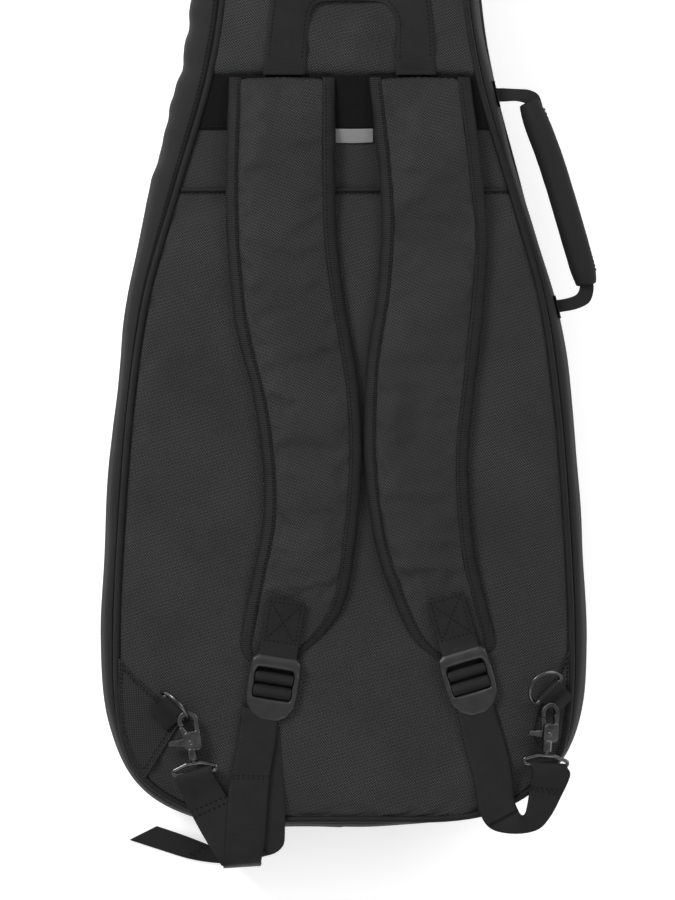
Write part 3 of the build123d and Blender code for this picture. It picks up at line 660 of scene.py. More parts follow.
def yoke_height(x, y, share):
    rolled_seam = 2.2 * (1 - step(0, 7, y - seam_y))
    end = 1 - step(neck_end_y - 50, neck_end_y - 14, y)
    swell = 4.2 * (1 - np.abs(share) ** 4) * end * step(-8, 14, y - seam_y)
    return 98.6 + swell - rolled_seam + 0.5 * rough(x, y, 60, 6.0)


yoke_top_y = panel_edge[len(panel_edge) - np.searchsorted(panel_edge[::-1, 0], 45), 1]
yoke = back_sheet("yoke_cover", yoke_top_y, seam_y, yoke_height, outer_weave, 110, 41, 1.6, blown=1.2)
done(yoke, "back_half", "outer_weave", "yoke_panel", fill=0.4)


def seam_line(y, height, span=0.985):
    """A row of points across the back at y, just on a panel's face."""
    share = np.linspace(-span, span, 80)
    x = half_width(np.array([y]))[0] * share
    ys = np.full(80, y)
    return np.column_stack([x, ys, height(x, ys, share) + 0.15])


hem_line = seam_line(pocket_top_y - 1.6, pocket_height)
hem = tube("pocket_hem_roll", hem_line + [0, 0, 0.1], 1.9, gusset_weave, 10)
done(hem, "back_half", "gusset_fabric", "pocket_hem")
hem_seam = seam_line(pocket_top_y - 4.4, pocket_height) + [0, 0, 0.7]
done(stitched("hem_stitches", [hem_seam]), "back_half", "webbing")
done(stitched("band_stitches", [seam_line(band_low_y + 2.5, band_height), seam_line(seam_y + 5, yoke_height),
                                seam_line(seam_y - 3, band_height)]), "back_half", "webbing")

# ---------------------------------------------------------------- shells: front panel, linings


def shell(name, profile, flat_z, material, thickness, offset=-1.0):
    """A dish that follows the outline: a rim of (inset, height), then a floor that closes at the middle."""
    rings = [np.column_stack([moved_in(inset), np.full(outline_count, z)]) for inset, z in profile]
    last = rings[-1]
    spine = np.column_stack([np.zeros(outline_count), np.clip(last[:, 1], -40, 840)])
    for share in (0.08, 0.2, 0.35, 0.5, 0.65, 0.8, 0.92, 0.995):
        xy = last[:, :2] * (1 - share) + spine * share
        z = flat_z + 0.5 * rough(xy[:, 0], xy[:, 1], 80, 4.0) * min(1, share * 3)
        rings.append(np.column_stack([xy, z]))
    return thickened(rings_piece(name, rings, material), thickness, offset)


front_cover = shell("front_panel_cover", [(front_round - 1, 11.2), (front_round + 2, 10.4), (14, 10.2)], 10.4,
                    outer_weave, 1.3, 1.0)
done(front_cover, "front_half", "outer_weave", "front_panel", fill=0.5)
front_rim_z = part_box("front_padding")[1].z / MM
back_rim_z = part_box("back_padding")[0].z / MM
front_floor_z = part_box("front_lining")[0].z / MM + 1
back_floor_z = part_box("back_lining")[1].z / MM - 1
front_dish = [(2.4, front_rim_z - 2), (4.5, front_rim_z - 0.2), (10, front_rim_z), (15, front_rim_z - 0.4),
              (17.6, front_rim_z - 3), (18.4, 38), (19, front_floor_z + 3), (22, front_floor_z + 0.4)]
dish = shell("front_lining_cover", front_dish, front_floor_z, plush, 1.0)
done(dish, "front_half", "lining_plush", "front_lining", "front_padding", fill=0.6)
back_dish = [(2.4, back_rim_z + 2), (4.5, back_rim_z + 0.2), (10, back_rim_z), (15, back_rim_z + 0.4),
             (17.6, back_rim_z + 3), (18.4, 66), (19, back_floor_z - 3), (22, back_floor_z - 0.4)]
dish = shell("back_lining_cover", back_dish, back_floor_z, plush, 1.0, 1.0)
done(dish, "back_half", "lining_plush", "back_lining", "back_padding", fill=0.6)

# ---------------------------------------------------------------- copies of CAD parts, edges rounded


def softened(node, voxel, smooth, material, body, slot, fill=None):
    """A CAD part remade with rounded edges: fine remesh, then smoothing. Sizes in millimetres."""
    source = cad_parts[node]
    graph = bpy.context.evaluated_depsgraph_get()
    mesh = bpy.data.meshes.new_from_object(source.evaluated_get(graph))
    mesh.transform(source.matrix_world)
    piece = bpy.data.objects.new(node + "_finished", mesh)
    bpy.context.scene.collection.objects.link(piece)
    settle(piece, ("WELD", {"merge_threshold": 0.001 * MM}),
           ("REMESH", {"mode": "VOXEL", "voxel_size": voxel * MM, "use_smooth_shade": True}),
           ("SMOOTH", {"factor": 0.5, "iterations": smooth}))
    piece.data.materials.clear()
    piece.data.materials.append(material)
    layer = piece.data.uv_layers.new(name="UVMap")
    spots = np.empty(len(piece.data.vertices) * 3, np.float32)
    piece.data.vertices.foreach_get("co", spots)
    corners = np.empty(len(piece.data.loops), np.int32)
    piece.data.loops.foreach_get("vertex_index", corners)
    layer.data.foreach_set("uv", spots.reshape(-1, 3)[corners][:, :2].ravel())
    return done(piece, body, slot, node, fill=fill)


for side in ("left", "right"):
    softened(f"snap_hook_{side}", 0.34, 6, gunmetal, f"hook_{side}", "hardware")
    softened(f"hook_gate_{side}", 0.28, 3, gunmetal, f"gate_{side}", "hardware")
    for node in (f"d_ring_{side}", f"swivel_eye_{side}"):
        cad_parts[node].data.materials.clear()
        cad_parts[node].data.materials.append(gunmetal)
for name in ("lower", "upper"):
    softened(f"main_zip_slider_{name}", 0.3, 3, gunmetal, f"main_slider_{name}", "hardware")
    softened(f"main_zip_pull_{name}", 0.3, 3, gunmetal, f"main_pull_{name}", "hardware")
softened("pocket_zip_slider", 0.3, 3, gunmetal, "pocket_slider", "hardware")
softened("pocket_zip_pull", 0.3, 3, gunmetal, "pocket_pull", "hardware")
softened("pocket_zip", 0.6, 3, tape, "front_half", "zip_chain")
softened("neck_cradle", 2.5, 8, plush, "front_half", "lining_plush", fill=0.9)
softened("neck_strap", 0.7, 3, webbing, "front_half", "webbing")
softened("tail_bumper", 2.2, 6, plush, "front_half", "foam", fill=0.9)


def mound(name, boundary, rings, top, material, thickness=0.0):
    """Cloth inside a boundary. rings are (share of the way in, rise) and top(x, y) is what it lies on."""
    boundary = np.asarray(boundary, float)
    middle = boundary.mean(0)
    points = []
    for share, rise in rings:
        xy = boundary * (1 - share) + middle * share
        points.append(np.column_stack([xy, top(xy[:, 0], xy[:, 1]) + rise]))
    piece = rings_piece(name, points, material)
    return thickened(piece, thickness) if thickness else piece


def closed_run(points, count=160, per_span=8):
    """Given corners joined by straight sides with slightly soft corners, as an even closed run."""
    pts = np.array(points, float)
    corners = []
    for a, b, c in zip(np.roll(pts, 1, 0), pts, np.roll(pts, -1, 0)):
        for t in np.linspace(0, 1, per_span):
            start = b + (a - b) * 0.06
            end = b + (c - b) * 0.06
            corners.append((1 - t) ** 2 * start + 2 * t * (1 - t) * b + t ** 2 * end)
    corners.append(corners[0])
    return evenly(np.array(corners), count + 1)[:-1]


def pocket_top(x, y):
    return pocket_height(x, y, np.clip(x / half_width(y), -1, 1))


patch_points = {
    "left": [(-178, -14), (-166, -28), (-146, -45), (-129, -65), (-158, -111), (-166, -100), (-175, -74),
             (-178, -40)],
    "right": [(178, -8), (168, -30), (152, -56), (148, -76), (163, -105), (172, -84), (177, -50)],
}
patch_rings = [(0.0, 0.4), (-0.012, 2.2), (0.01, 3.4), (0.04, 3.5), (0.07, 2.7), (0.12, 2.5), (0.3, 2.6),
               (0.55, 2.7), (0.8, 2.8), (0.99, 2.8)]
for side, points in patch_points.items():
    run = closed_run(points)
    patch = mound(f"corner_patch_{side}_cover", run, patch_rings, pocket_top, patch_weave)
    done(patch, "back_half", "outer_weave", f"corner_patch_{side}")
    middle = run.mean(0)
    for share in (0.08, 0.17):
        xy = run * (1 - share) + middle * share
        path = np.column_stack([xy, pocket_top(xy[:, 0], xy[:, 1]) + 2.8])
        stitches = stitched(f"patch_stitches_{side}_{int(share * 100)}", [np.vstack([path, path[:1]])])
        done(stitches, "back_half", "webbing")

# ---------------------------------------------------------------- webbing


def strip(name, rows, material=None, thickness=1.5, count=120, columns=11):
    """Webbing through rows of given edges. Each row is its left edge and its right edge, x, y and z."""
    edges = smooth_curve([[*left, *right] for left, right in rows], 16)
    middle = (edges[:, :3] + edges[:, 3:]) / 2
    along = travelled(middle)
    at = np.linspace(0, along[-1], count)
    edges = np.stack([np.interp(at, along, edges[:, k]) for k in range(6)], 1)
    share = np.linspace(0, 1, columns)[None, :, None]
    points = edges[:, None, :3] * (1 - share) + edges[:, None, 3:] * share
    width = np.median(np.linalg.norm(edges[:, :3] - edges[:, 3:], axis=1))
    u = np.tile(np.linspace(0, width, columns), (count, 1))
    v = np.tile(at[:, None], (1, columns))
    piece = grid_piece(name, points, u, v, material or webbing)
    return settle(piece, ("SOLIDIFY", {"thickness": thickness * MM, "offset": 0.0}),
                  ("BEVEL", {"width": 0.35 * MM, "segments": 2, "limit_method": "ANGLE"}))


left_load = [
    ((-79.5, -46.5, 104.6), (-48.5, -51, 104.5)), ((-82.5, -62, 104.3), (-51, -66, 104.2)),
    ((-83, -91, 104.1), (-49, -92, 104.0)), ((-82, -130, 104.0), (-47, -126, 103.8)),
    ((-84, -160, 103.4), (-46.5, -150, 102.8)), ((-92, -174, 102.6), (-48, -162, 101.6)),
    ((-96, -177.5, 103.6), (-56, -168, 102.6)), ((-101, -170, 105.2), (-66, -164, 104.6)),
    ((-112, -152, 106.0), (-82, -138, 105.8)), ((-124, -129, 108.6), (-96, -117, 108.2)),
    ((-131.5, -112, 112.4), (-103, -104.5, 112.2)), ((-131.8, -107.5, 112.9), (-103.6, -99.5, 112.7)),
    ((-131.4, -105.6, 110.9), (-103.4, -97.6, 110.9)), ((-130.8, -109, 109.0), (-102.6, -101, 109.0)),
    ((-126.5, -120, 107.2), (-98.5, -110.5, 107.2)),
]
left_tail = [
    ((-80.5, -52, 107.6), (-52, -57, 107.6)), ((-82.5, -75, 107.2), (-54, -78, 107.0)),
    ((-86.5, -98, 107.5), (-57.5, -99, 107.2)), ((-91, -121, 107.6), (-60, -121, 107.3)),
    ((-92.7, -152, 106.8), (-62, -152, 106.2)), ((-94.6, -172, 104.6), (-64.5, -170, 103.6)),
    ((-95.2, -179, 98.0), (-66, -177, 96.0)), ((-95.6, -181.6, 70.0), (-66, -180.6, 68.0)),
    ((-96.4, -181, 34.0), (-67, -182, 28.0)), ((-97.4, -178.8, 16.0), (-74, -183.5, 6.0)),
    ((-97.6, -177.4, 8.0), (-92, -185.6, 2.0)), ((-100, -175.6, 5.2), (-107, -185.4, 1.7)),
    ((-108, -171.6, 4.4), (-127, -182, 1.6)), ((-130, -163, 4.0), (-151, -174.6, 1.5)),
    ((-152, -155.6, 3.4), (-174.4, -167, 1.4)),
]
right_load = [
    ((87.7, -47.2, 104.6), (116.5, -38.7, 104.6)), ((90, -59, 104.3), (119, -53, 104.2)),
    ((94.6, -82, 104.1), (127.5, -80, 104.0)), ((102, -110, 104.0), (132, -102, 103.9)),
    ((106, -133, 103.6), (134, -124, 103.4)), ((115, -148, 102.6), (137.5, -134, 103.4)),
    ((133, -152.5, 102.8), (140, -137.5, 104.6)), ((152, -149.5, 103.8), (142.5, -136, 107.4)),
    ((162.5, -139, 105.0), (144.2, -130, 106.4)), ((171, -122.5, 108.0), (146, -118.5, 107.4)),
    ((177.8, -106, 112.8), (149, -104, 112.6)), ((175.6, -99.5, 113.6), (146.6, -97.6, 113.4)),
    ((174.6, -97.2, 111.5), (145.8, -95.2, 111.5)), ((175.2, -101, 109.6), (146.4, -99, 109.6)),
    ((175.4, -113, 108.0), (147.0, -110.5, 107.8)),
]
right_tail = [
    ((88.6, -50, 107.6), (116.6, -43, 107.6)), ((91, -64, 106.6), (119.4, -58, 106.5)),
    ((96, -86, 106.1), (127, -82, 106.0)), ((103, -112, 106.0), (131.6, -105, 105.9)),
    ((106.8, -133, 105.6), (133, -125, 105.4)), ((113.4, -145, 104.8), (136, -133.4, 105.2)),
]
for side, load, tail in (("left", left_load, left_tail), ("right", right_load, right_tail)):
    load_strip = strip(f"strap_webbing_{side}_cover", load)
    tail_strip = strip(f"webbing_tail_{side}_cover", tail)
    for piece, node in ((load_strip, f"strap_webbing_{side}"), (tail_strip, f"webbing_tail_{side}")):
        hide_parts(node)


def across_stitches(name, rows, shares, lift=1.0):
    """Stitch rows across a strip, at shares of the way between one row of edges and the next."""
    (left_a, right_a), (left_b, right_b) = rows
    paths = []
    for share in shares:
        left = np.array(left_a) * (1 - share) + np.array(left_b) * share
        right = np.array(right_a) * (1 - share) + np.array(right_b) * share
        paths.append([left * 0.96 + right * 0.04 + [0, 0, lift], left * 0.04 + right * 0.96 + [0, 0, lift]])
    return stitched(name, paths)


hems = {
    "left_load_hem": across_stitches("left_load_hem", left_load[8:10], (0.55, 0.75)),
    "left_tail_hem": across_stitches("left_tail_hem", left_tail[2:4], (0.35, 0.45)),
    "left_end_hem": across_stitches("left_end_hem", left_tail[12:14], (0.0, 0.12)),
    "right_load_hem": across_stitches("right_load_hem", right_load[9:11], (0.1, 0.25)),
}

# The strap webbing runs between its hook, which stays on the bag, and the strap, which lifts off it; here it is
# left where it lies, on no body.
hang_spots = {"left": ((-94, -106), (-70, -62)), "right": ((136, -104), (110, -60))}


def hung(piece):
    """Bakes the webbing where it lies; it rides on no body."""
    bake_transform(piece)


for side in hang_spots:
    hung(made[f"strap_webbing_{side}_cover"])
    hung(made[f"webbing_tail_{side}_cover"])
for name, piece in hems.items():
    hung(piece)

ring_axis_z = sum(corner.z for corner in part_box("ring_loop_left")) / 2 / MM
ring_places = {"left": ((-133.9, -52.2), -48.2, -1), "right": ((161.5, -39.9), 225, 1)}
for side, (centre, angle, way) in ring_places.items():
    wire_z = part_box(f"ring_loop_{side}")[1].z / MM - 3.4
    turn = math.radians(angle)
    along = np.array([math.cos(turn), math.sin(turn), 0]) * 10.5
    off = np.array([-math.sin(turn), math.cos(turn), 0]) * way
    path = [(17, -2.6), (9, -2.2), (4, 1.2), (0.6, 2.8), (-2.2, 1.8), (-2.9, 0), (-1.8, -2.2), (2, -3.0),
            (8, -3.4), (15, -3.6)]
    rows = []
    for out, z in path:
        spot = np.array([*centre, wire_z + z]) + off * out
        rows.append((tuple(spot - along), tuple(spot + along)))
    loop = strip(f"ring_loop_{side}_cover", rows, thickness=1.3, count=50)
    done(loop, "back_half", "webbing", f"ring_loop_{side}")

# ---------------------------------------------------------------- shoulder straps

pad_edges = {
    "left": ([(-64, -21), (-77, -15), (-81.5, -4), (-77, 26), (-73, 45), (-63, 105), (-69, 179), (-86, 253),
              (-93, 340), (-91, 444.2)],
             [(-42, -20), (-31, -9), (-12, 9), (2, 34), (9.5, 80), (14.2, 142), (11, 205), (0, 272), (-6, 330),
              (-7, 444.2)]),
    "right": ([(102, -15), (114, -10), (119, -1), (112, 30), (102, 76), (98, 145), (105, 215), (113, 305),
               (108, 375), (99.5, 444.2)],
              [(80, -19), (68, -11), (52, 5), (36, 40), (24, 78), (15.8, 142), (17.5, 215), (27, 280), (29, 345),
               (19.5, 444.2)]),
}
binding_width = 10.0


def pad_under(y):
    """Height of a strap's underside at y."""
    return np.interp(y, [364, 404], [104.0, 99.2])


def pad_over(y):
    """Height of a strap's upper face at y, in the middle of its width."""
    return np.interp(y, [-12, 0, 36, 60, 396, 430, 444.6], [105.4, 106.9, 112.6, 115.0, 115.0, 108.4, 104.4])


def pad_frame(side, rows):
    """The strap's two edges, row for row, with the unit direction across from the outer to the inner edge."""
    outer, inner = (evenly(smooth_curve(points, 16), rows) for points in pad_edges[side])
    across = inner - outer
    return outer, inner, unit(across)


def pad_height(side, x, y, share):
    """The pad's upper face: crowned, with creases that run across where the strap bends."""
    thick = pad_over(y) - pad_under(y)
    seam_drop = 0.30 * thick * np.abs(share) ** 3.2
    seed = 11.0 if side == "left" else 23.0
    bend = 0.35 + np.exp(-((y - 235) / 70) ** 2) + 0.7 * np.exp(-((y - 60) / 40) ** 2)
    creases = -np.abs(rough(x * 0.25, y, 26, seed)) * bend * 1.5 * (1 - np.abs(share) ** 4)
    return pad_over(y) - seam_drop + creases + 0.5 * rough(x, y, 40, seed + 1)


def shoulder_pad(side):
    """The strap's woven core between its bindings, blown up as cloth so that it creases at the seams."""
    rows = 118
    top_count = 25
    low_count = 9
    outer, inner, across = pad_frame(side, rows)
    low = outer + across * (binding_width - 1.5)
    high = inner - across * (binding_width - 1.5)
    top_share = np.linspace(-1, 1, top_count)
    low_share = np.linspace(1, -1, low_count)
    share = np.concatenate([top_share, low_share])
    t = (share[None, :, None] + 1) / 2
    xy = low[:, None, :] * (1 - t) + high[:, None, :] * t
    shares = np.tile(share, (rows, 1))
    upper = pad_height(side, xy[:, :, 0], xy[:, :, 1], shares)
    z = upper.copy()
    z[:, top_count:] = (pad_under(xy[:, :, 1]) + 0.2)[:, top_count:]
    points = np.dstack([xy, z])
    piece = grid_piece(f"shoulder_pad_{side}_core", points, xy[:, :, 0], xy[:, :, 1], pad_weave, wrap_u=0.001,
                       caps=True)
    columns = top_count + low_count
    edge = [c for c in range(columns) if abs(share[c]) > 0.93 or c >= top_count]
    tab_rows = int(rows * 0.15)
    pinned = [r * columns + c for r in range(rows) for c in range(columns)
              if c in edge or r < tab_rows or r > rows - 3]
    inflated(piece, pinned, 2.5, 0.035, 3.0)
    settle(piece, ("SUBSURF", {"levels": 1, "render_levels": 1}))
    return done(piece, f"strap_{side}", "outer_weave", f"shoulder_pad_{side}", fill=0.7)


def pad_binding(side, edge_name):
    """The ribbed tape folded round one long edge of the strap."""
    rows = 150
    outer, inner, across = pad_frame(side, rows)
    edge, inwards = (outer, across) if edge_name == "outer" else (inner, -across)
    y = edge[:, 1]
    under = pad_under(y)
    thick = pad_over(y) - under
    profile = [(binding_width, 0.70), (binding_width - 1.2, 0.80), (7.0, 0.80), (4.0, 0.74), (1.8, 0.62),
               (0.5, 0.48), (0.0, 0.34), (0.5, 0.18), (2.0, 0.05), (6.0, 0.0), (binding_width, 0.0)]
    wave = 0.5 * rough(y, 0 * y, 24, 31.0 if edge_name == "outer" else 37.0)
    rings = []
    for inset, share in profile:
        xy = edge + inwards * (inset + wave * (inset < 7))[:, None]
        rings.append(np.column_stack([xy, under + thick * share * 0.98]))
    points = np.array(rings).transpose(1, 0, 2)
    around = travelled(points[rows // 2])
    u = np.tile(around, (rows, 1))
    v = np.tile(travelled(edge)[:, None], (1, len(profile)))
    piece = grid_piece(f"strap_binding_{side}_{edge_name}", points, u, v, binding_tape, wrap_u=around[-1] + 6,
                       caps=True)
    nodes = (f"strap_binding_{side}",) if edge_name == "outer" else ()
    done(piece, f"strap_{side}", "binding", *nodes)
    stitch_line = np.column_stack([edge + inwards * (binding_width - 2.4), under + thick * 0.80 + 0.15])
    done(stitched(f"binding_stitches_{side}_{edge_name}", [stitch_line[2:-2]]), f"strap_{side}", "webbing")


buckles = {"left": ((-53.0, -17.8), -9.1), "right": ((93.3, -13.2), 16.5)}
bar_z = 107.4


def buckle_spot(side, x, y, z=0.0):
    """A point in a buckle's own frame: origin on its loop bar, y up the strap."""
    (ox, oy), lean = buckles[side]
    turn = math.radians(lean)
    return (ox + x * math.cos(turn) - y * math.sin(turn),
            oy + x * math.sin(turn) + y * math.cos(turn), bar_z + z)


def polar_run(points, middle, count):
    """A closed run of points, one at each of a number of even angles seen from the middle."""
    run = closed_run(points, 400, 6) - middle
    angle = np.unwrap(np.arctan2(run[:, 1], run[:, 0]))
    if angle[-1] < angle[0]:
        run = run[::-1]
        angle = np.unwrap(np.arctan2(run[:, 1], run[:, 0]))
    reach = np.linalg.norm(run, axis=1)
    at = np.linspace(-math.pi, math.pi, count, endpoint=False)
    far = np.interp(at, angle, reach, period=2 * math.pi)
    return np.column_stack([np.cos(at) * far, np.sin(at) * far]) + middle


def buckle(side):
    """The ladder-lock buckle: a moulded frame with round shoulders, a hooded top bar and a thumb tab."""
    middle = np.array([0, -17.0])
    count = 120
    outer_corners = [(-15, 6.2), (15, 6.2), (19.4, 2.5), (20, -6), (20, -24), (19, -34), (14, -41.5),
                     (6, -46.5), (-6, -46.5), (-14, -41.5), (-19, -34), (-20, -24), (-20, -6), (-19.4, 2.5)]
    window_corners = [(-13.5, -4.6), (13.5, -4.6), (15.4, -8), (15, -28.6), (-15, -28.6), (-15.4, -8)]
    outer = polar_run(outer_corners, middle, count)
    window = polar_run(window_corners, middle, count)
    low = -1.8

    def top_at(y):
        return np.interp(y, [-47, -38, -30, -10, -4, 2, 7], [0.9, 1.5, 2.4, 3.0, 5.0, 5.9, 4.4])

    section = ((0.02, 0.0), (0.0, 0.35), (0.02, 0.8), (0.14, 1.0), (0.5, 1.02), (0.86, 1.0), (0.98, 0.8),
               (1.0, 0.35), (0.98, 0.0), (0.5, -0.02))
    rings = []
    for share, height in section:
        xy = outer * (1 - share) + window * share
        z = low + (top_at(xy[:, 1]) - low) * height
        rings.append([buckle_spot(side, x, y, h) for (x, y), h in zip(xy, z)])
    points = np.array(rings)
    points = np.concatenate([points, points[:1]], 0)
    u = np.tile(np.linspace(0, 110, count), (len(points), 1))
    v = np.tile(np.linspace(0, 20, len(points))[:, None], (1, count))
    piece = grid_piece(f"ladder_lock_{side}_frame", points, u, v, buckle_plastic, wrap_u=0.9)
    settle(piece, ("WELD", {"merge_threshold": 0.001 * MM}), ("SUBSURF", {"levels": 1, "render_levels": 1}))
    done(piece, f"buckle_{side}", "buckle_plastic", f"ladder_lock_{side}")
    for bar_y, bar_low, radius in ((0.0, 0.0, 1.9), (-12, 0.3, 1.5), (-23, 0.1, 1.5)):
        line = [buckle_spot(side, x, bar_y, bar_low) for x in np.linspace(-17, 17, 12)]
        bar = tube(f"buckle_bar_{side}_{int(-bar_y)}", line, radius, buckle_plastic, 12)
        done(bar, f"buckle_{side}", "buckle_plastic")


def strap_tab(side):
    """The webbing tab: round the buckle's bar, and box-stitched with a cross on the strap's end."""
    rows = []
    for y, z in ((12, -2.6), (4, -3.4), (0, -3.2), (-3.1, 0.0), (0, 3.1), (5, 3.0), (10, 2.4)):
        rows.append((buckle_spot(side, -15, y, z), buckle_spot(side, 15, y, z)))
    for y in (18, 26, 34, 42, 51):
        edges = []
        for x in (-15, 15):
            spot = buckle_spot(side, x, y)
            edges.append((spot[0], spot[1], float(pad_over(spot[1])) + 2.9))
        rows.append(tuple(edges))
    done(strip(f"strap_tab_{side}_cover", rows, count=90), f"strap_{side}", "webbing", f"strap_tab_{side}")
    corners = [(-12, 17), (12, 17), (12, 48), (-12, 48)]

    def on_tab(x, y):
        spot = buckle_spot(side, x, y)
        return (spot[0], spot[1], float(pad_over(spot[1])) + 3.8)

    def run(a, b):
        return [on_tab(a[0] + (b[0] - a[0]) * t, a[1] + (b[1] - a[1]) * t) for t in np.linspace(0, 1, 14)]

    paths = [run(corners[k], corners[(k + 1) % 4]) for k in range(4)]
    paths += [run(corners[0], corners[2]), run(corners[1], corners[3])]
    done(stitched(f"tab_stitches_{side}", paths, pitch=3.0, length=2.2), f"strap_{side}", "webbing")


def buckle_webbing(side):
    """The webbing in the buckle: over its two lower bars, then out below it to the strap's own webbing."""
    over_bars = [(-5.5, -3.4), (-7.6, -2.2), (-8.8, 1.0), (-10.6, 2.7), (-13.6, 2.7), (-15.4, 1.0),
                 (-16.4, -2.4), (-18, -2.6), (-19.4, 0.4), (-21.4, 2.5), (-24.6, 2.5), (-27, 0.6),
                 (-28.4, -2.6), (-34, -3.4)]
    rows = [(buckle_spot(side, -15, y, z), buckle_spot(side, 15, y, z)) for y, z in over_bars]
    done(strip(f"buckle_wrap_{side}", rows, count=60), f"buckle_{side}", "webbing")
    # This length is left where it lies, on no body.
    tongue_top = -31
    tongue_end = -60
    below = [(tongue_top, -3.6), (-40, -3.9), (-50, -4.2), (tongue_end, -4.3)]
    rows = [(buckle_spot(side, -14.6, y, z), buckle_spot(side, 14.6, y, z)) for y, z in below]
    tongue = strip(f"buckle_tongue_{side}", rows, thickness=1.2, count=36)
    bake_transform(tongue)


for side in ("left", "right"):
    shoulder_pad(side)
    for edge_name in ("outer", "inner"):
        pad_binding(side, edge_name)
    strap_tab(side)
    buckle(side)
    buckle_webbing(side)

# ---------------------------------------------------------------- label, handles

label_rows = [((-8, band_low_y - 10.5, 100.6), (-8, band_low_y + 0.6, 100.9)),
              ((8, band_low_y - 10.8, 100.8), (8, band_low_y + 0.4, 101.1)),
              ((23, band_low_y - 10.2, 100.6), (23, band_low_y + 0.7, 100.9))]
done(strip("woven_label_cover", label_rows, label_weave, 0.6, 30, 7), "back_half", "label", "woven_label")

haul_rows = [((-64, 446, 102.4), (-31, 446, 102.4)), ((-62, 462, 104.6), (-30, 460, 104.6)),
             ((-59, 490, 105.0), (-27.5, 486, 105.0)), ((-55, 514, 104.8), (-25, 498, 105.0)),
             ((-42, 532, 104.6), (-17, 503, 105.0)), ((4, 536, 104.6), (4, 504, 105.0)),
             ((51, 532, 104.6), (27, 503, 105.0)), ((65, 514, 104.8), (36, 498, 105.0)),
             ((69.5, 490, 105.0), (41.5, 486, 105.0)), ((71, 462, 104.6), (41, 460, 104.6)),
             ((72.5, 446, 102.4), (41, 446, 102.4))]
haul = strip("haul_handle_cover", haul_rows, thickness=2.2, count=160)
done(haul, "haul_handle", "webbing", "haul_handle")
haul_stitch_paths = []
for near, far in ((0.1, 0.9), (0.9, 0.1)):
    line = [np.array(a) * near + np.array(b) * far + [0, 0, 1.35] for a, b in haul_rows[1:-1]]
    haul_stitch_paths.append(smooth_curve(line, 10))
done(stitched("haul_stitches", haul_stitch_paths), "haul_handle", "webbing")

grip_z = 75.0
grip_line = evenly(smooth_curve([(147, 427), (152, 414), (163, 385), (172, 357), (182, 323), (191, 291),
                                 (193, 281)], 20), 90)
grip_share = np.linspace(-1, 1, 90)
grip_ripple = 0.22 * rough(np.linspace(0, 145, 90), np.zeros(90), 16, 41.0)
grip_radius = 10.7 - 2.8 * np.abs(grip_share) ** 9 + grip_ripple
grip_ahead = unit(np.gradient(grip_line, axis=0))
grip_side = np.column_stack([grip_ahead[:, 1], -grip_ahead[:, 0], np.zeros(90)])
grip_turn = np.linspace(0, 2 * math.pi, 28, endpoint=False)
crease = 1 - 0.10 * np.exp(-((np.cos(grip_turn) + 1) / 0.02) ** 2)
grip_points = np.stack([np.column_stack([grip_line, np.full(90, grip_z)])
                        + (grip_side * math.cos(a) + np.array([0, 0, math.sin(a)])) * (grip_radius * k)[:, None]
                        for a, k in zip(grip_turn, crease)], 1)
grip_u = np.tile(grip_turn * 10.5, (90, 1))
grip_v = np.tile(np.linspace(0, 148, 90)[:, None], (1, 28))
grip = grid_piece("side_handle_grip_cover", grip_points, grip_u, grip_v, gusset_weave,
                  wrap_u=2 * math.pi * 10.5, caps=True)
settle(grip, ("SUBSURF", {"levels": 1, "render_levels": 1}))
done(grip, "side_handle", "gusset_fabric", "side_handle_grip", fill=0.8)
grip_seam = np.column_stack([grip_line - grip_side[:, :2] * 9.4, np.full(90, grip_z + 4.2)])
done(stitched("grip_stitches", [grip_seam[6:-6]]), "side_handle", "webbing")

top_stub = [((114, 437.5, 78), (114, 427, 78)), ((126, 437.5, 77.6), (126, 427, 77.6)),
            ((137, 437, 77), (137, 427.5, 77)),
            ((147, 436.4, 75.6), (145, 425.6, 75.6)), ((154.5, 432.6, 75), (146.6, 423.4, 75)),
            ((158, 424, 75), (147.6, 418.6, 75))]
low_stub = [((196.4, 289, 75), (186, 287, 75)), ((198.6, 279, 75), (187.6, 281.5, 75)),
            ((195.5, 268, 75), (186.4, 275.6, 75)), ((186, 262.6, 76), (182.4, 272.4, 76)),
            ((174, 260, 77), (174, 270, 77)), ((161, 258.5, 78), (161, 268.5, 78))]
for name, rows, bag_x, grip_x, y in (("side_stub_top", top_stub, 0.119, 0.142, 0.432),
                                     ("side_stub_low", low_stub, 0.165, 0.186, 0.266)):
    stub = strip(name, rows, thickness=3.6, count=60)
    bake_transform(stub)
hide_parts("side_handle_webbing")


def end_patch(name, low_y, high_y, *nodes):
    """A square of webbing sewn on the right gusset, where an end of the side handle comes out."""
    picked = [i for i in range(len(right_half)) if low_y <= right_half[i, 1] <= high_y]
    xy = slumped(moved_in(-3.0))[picked]
    heights = np.linspace(64, 86, 9)
    points = np.array([np.column_stack([xy, np.full(len(xy), z)]) for z in heights])
    u = np.tile(xy[:, 1], (9, 1))
    v = np.tile(heights[:, None], (1, len(xy)))
    done(thickened(grid_piece(name, points, u, v, webbing), 1.3), "back_half", "webbing", *nodes)


end_patch("side_end_low", 253, 275, "side_handle_ends")
end_patch("side_end_high", 421, 443)

# ---------------------------------------------------------------- front pocket

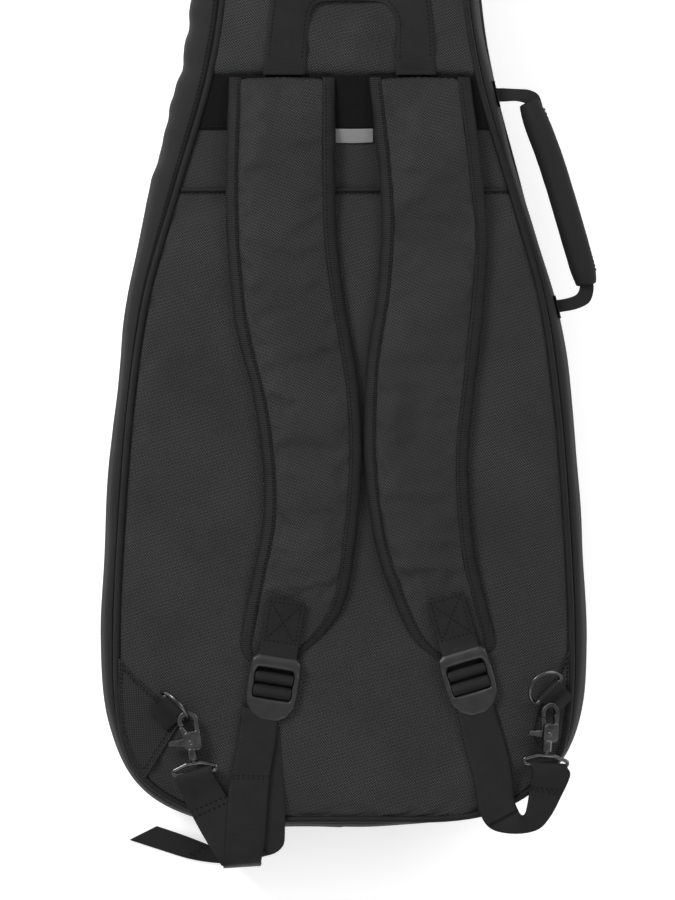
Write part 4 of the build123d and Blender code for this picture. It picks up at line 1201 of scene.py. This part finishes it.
pocket_low_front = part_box("front_pocket")[0].y / MM
pocket_high_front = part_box("front_pocket")[1].y / MM
ring = moved_in(24.0)
ring = ring[(ring[:, 1] > pocket_low_front) & (ring[:, 1] < pocket_high_front)]
right_side = ring[ring[:, 0] > 0]
left_side = ring[ring[:, 0] < 0]
pocket_ring = closed_run(np.vstack([right_side[::24], left_side[::24]]), 240, 4)
pocket_rings = [(0.0, 10.2), (-0.004, 7.0), (0.0, 3.6), (0.012, 2.2), (0.05, 1.6), (0.2, 1.4), (0.5, 1.4),
                (0.8, 1.4), (0.99, 1.4)]
front_pocket = mound("front_pocket_cover", pocket_ring, pocket_rings, lambda x, y: 0 * x, outer_weave, 1.2)
done(front_pocket, "front_half", "outer_weave", "front_pocket", fill=0.3)

# ---------------------------------------------------------------- camera, light, floor

floor_mesh = bpy.data.meshes.new("floor")
floor_mesh.from_pydata([(-4, -4, 0), (4, -4, 0), (4, 4, 0), (-4, 4, 0)], [], [(0, 1, 2, 3)])
floor_material, _, floor_shader = node_tree("floor_paper")
floor_shader.inputs["Base Color"].default_value = (0.86, 0.86, 0.86, 1)
floor_shader.inputs["Roughness"].default_value = 0.9
floor_shader.inputs["Emission Color"].default_value = (1, 1, 1, 1)
floor_shader.inputs["Emission Strength"].default_value = 0.5
floor_mesh.materials.append(floor_material)
floor = bpy.data.objects.new("floor", floor_mesh)
bpy.context.scene.collection.objects.link(floor)


def softbox(name, place, target, size, power):
    """A square area light that faces a point."""
    data = bpy.data.lights.new(name, "AREA")
    data.size = size
    data.energy = power
    light = bpy.data.objects.new(name, data)
    light.location = place
    light.rotation_euler = (Vector(target) - Vector(place)).to_track_quat("-Z", "Y").to_euler()
    bpy.context.scene.collection.objects.link(light)


softbox("key", (-1.5, 1.6, 1.7), (0, 0.2, 0), 0.9, 62)
softbox("fill", (1.7, 0.9, 1.5), (0, 0.2, 0), 1.2, 20)
softbox("low", (0.2, -1.9, 1.3), (0, 0.1, 0), 1.2, 10)
world = bpy.data.worlds.new("studio")
world.use_nodes = True
world.node_tree.nodes["Background"].inputs[0].default_value = (1, 1, 1, 1)
world.node_tree.nodes["Background"].inputs[1].default_value = 0.45
bpy.context.scene.world = world

view_height = 0.711      # of the back panel's plane, seen from edge to edge of the frame
camera_distance = 3.2
camera_data = bpy.data.cameras.new("camera")
camera_data.sensor_fit = "VERTICAL"
camera_data.angle = 2 * math.atan(view_height / 2 / camera_distance)
camera = bpy.data.objects.new("camera", camera_data)
camera.location = (-0.0051, 0.1501, back_z * MM + camera_distance)
bpy.context.scene.collection.objects.link(camera)
bpy.context.scene.camera = camera
bpy.context.scene.view_settings.view_transform = "Standard"
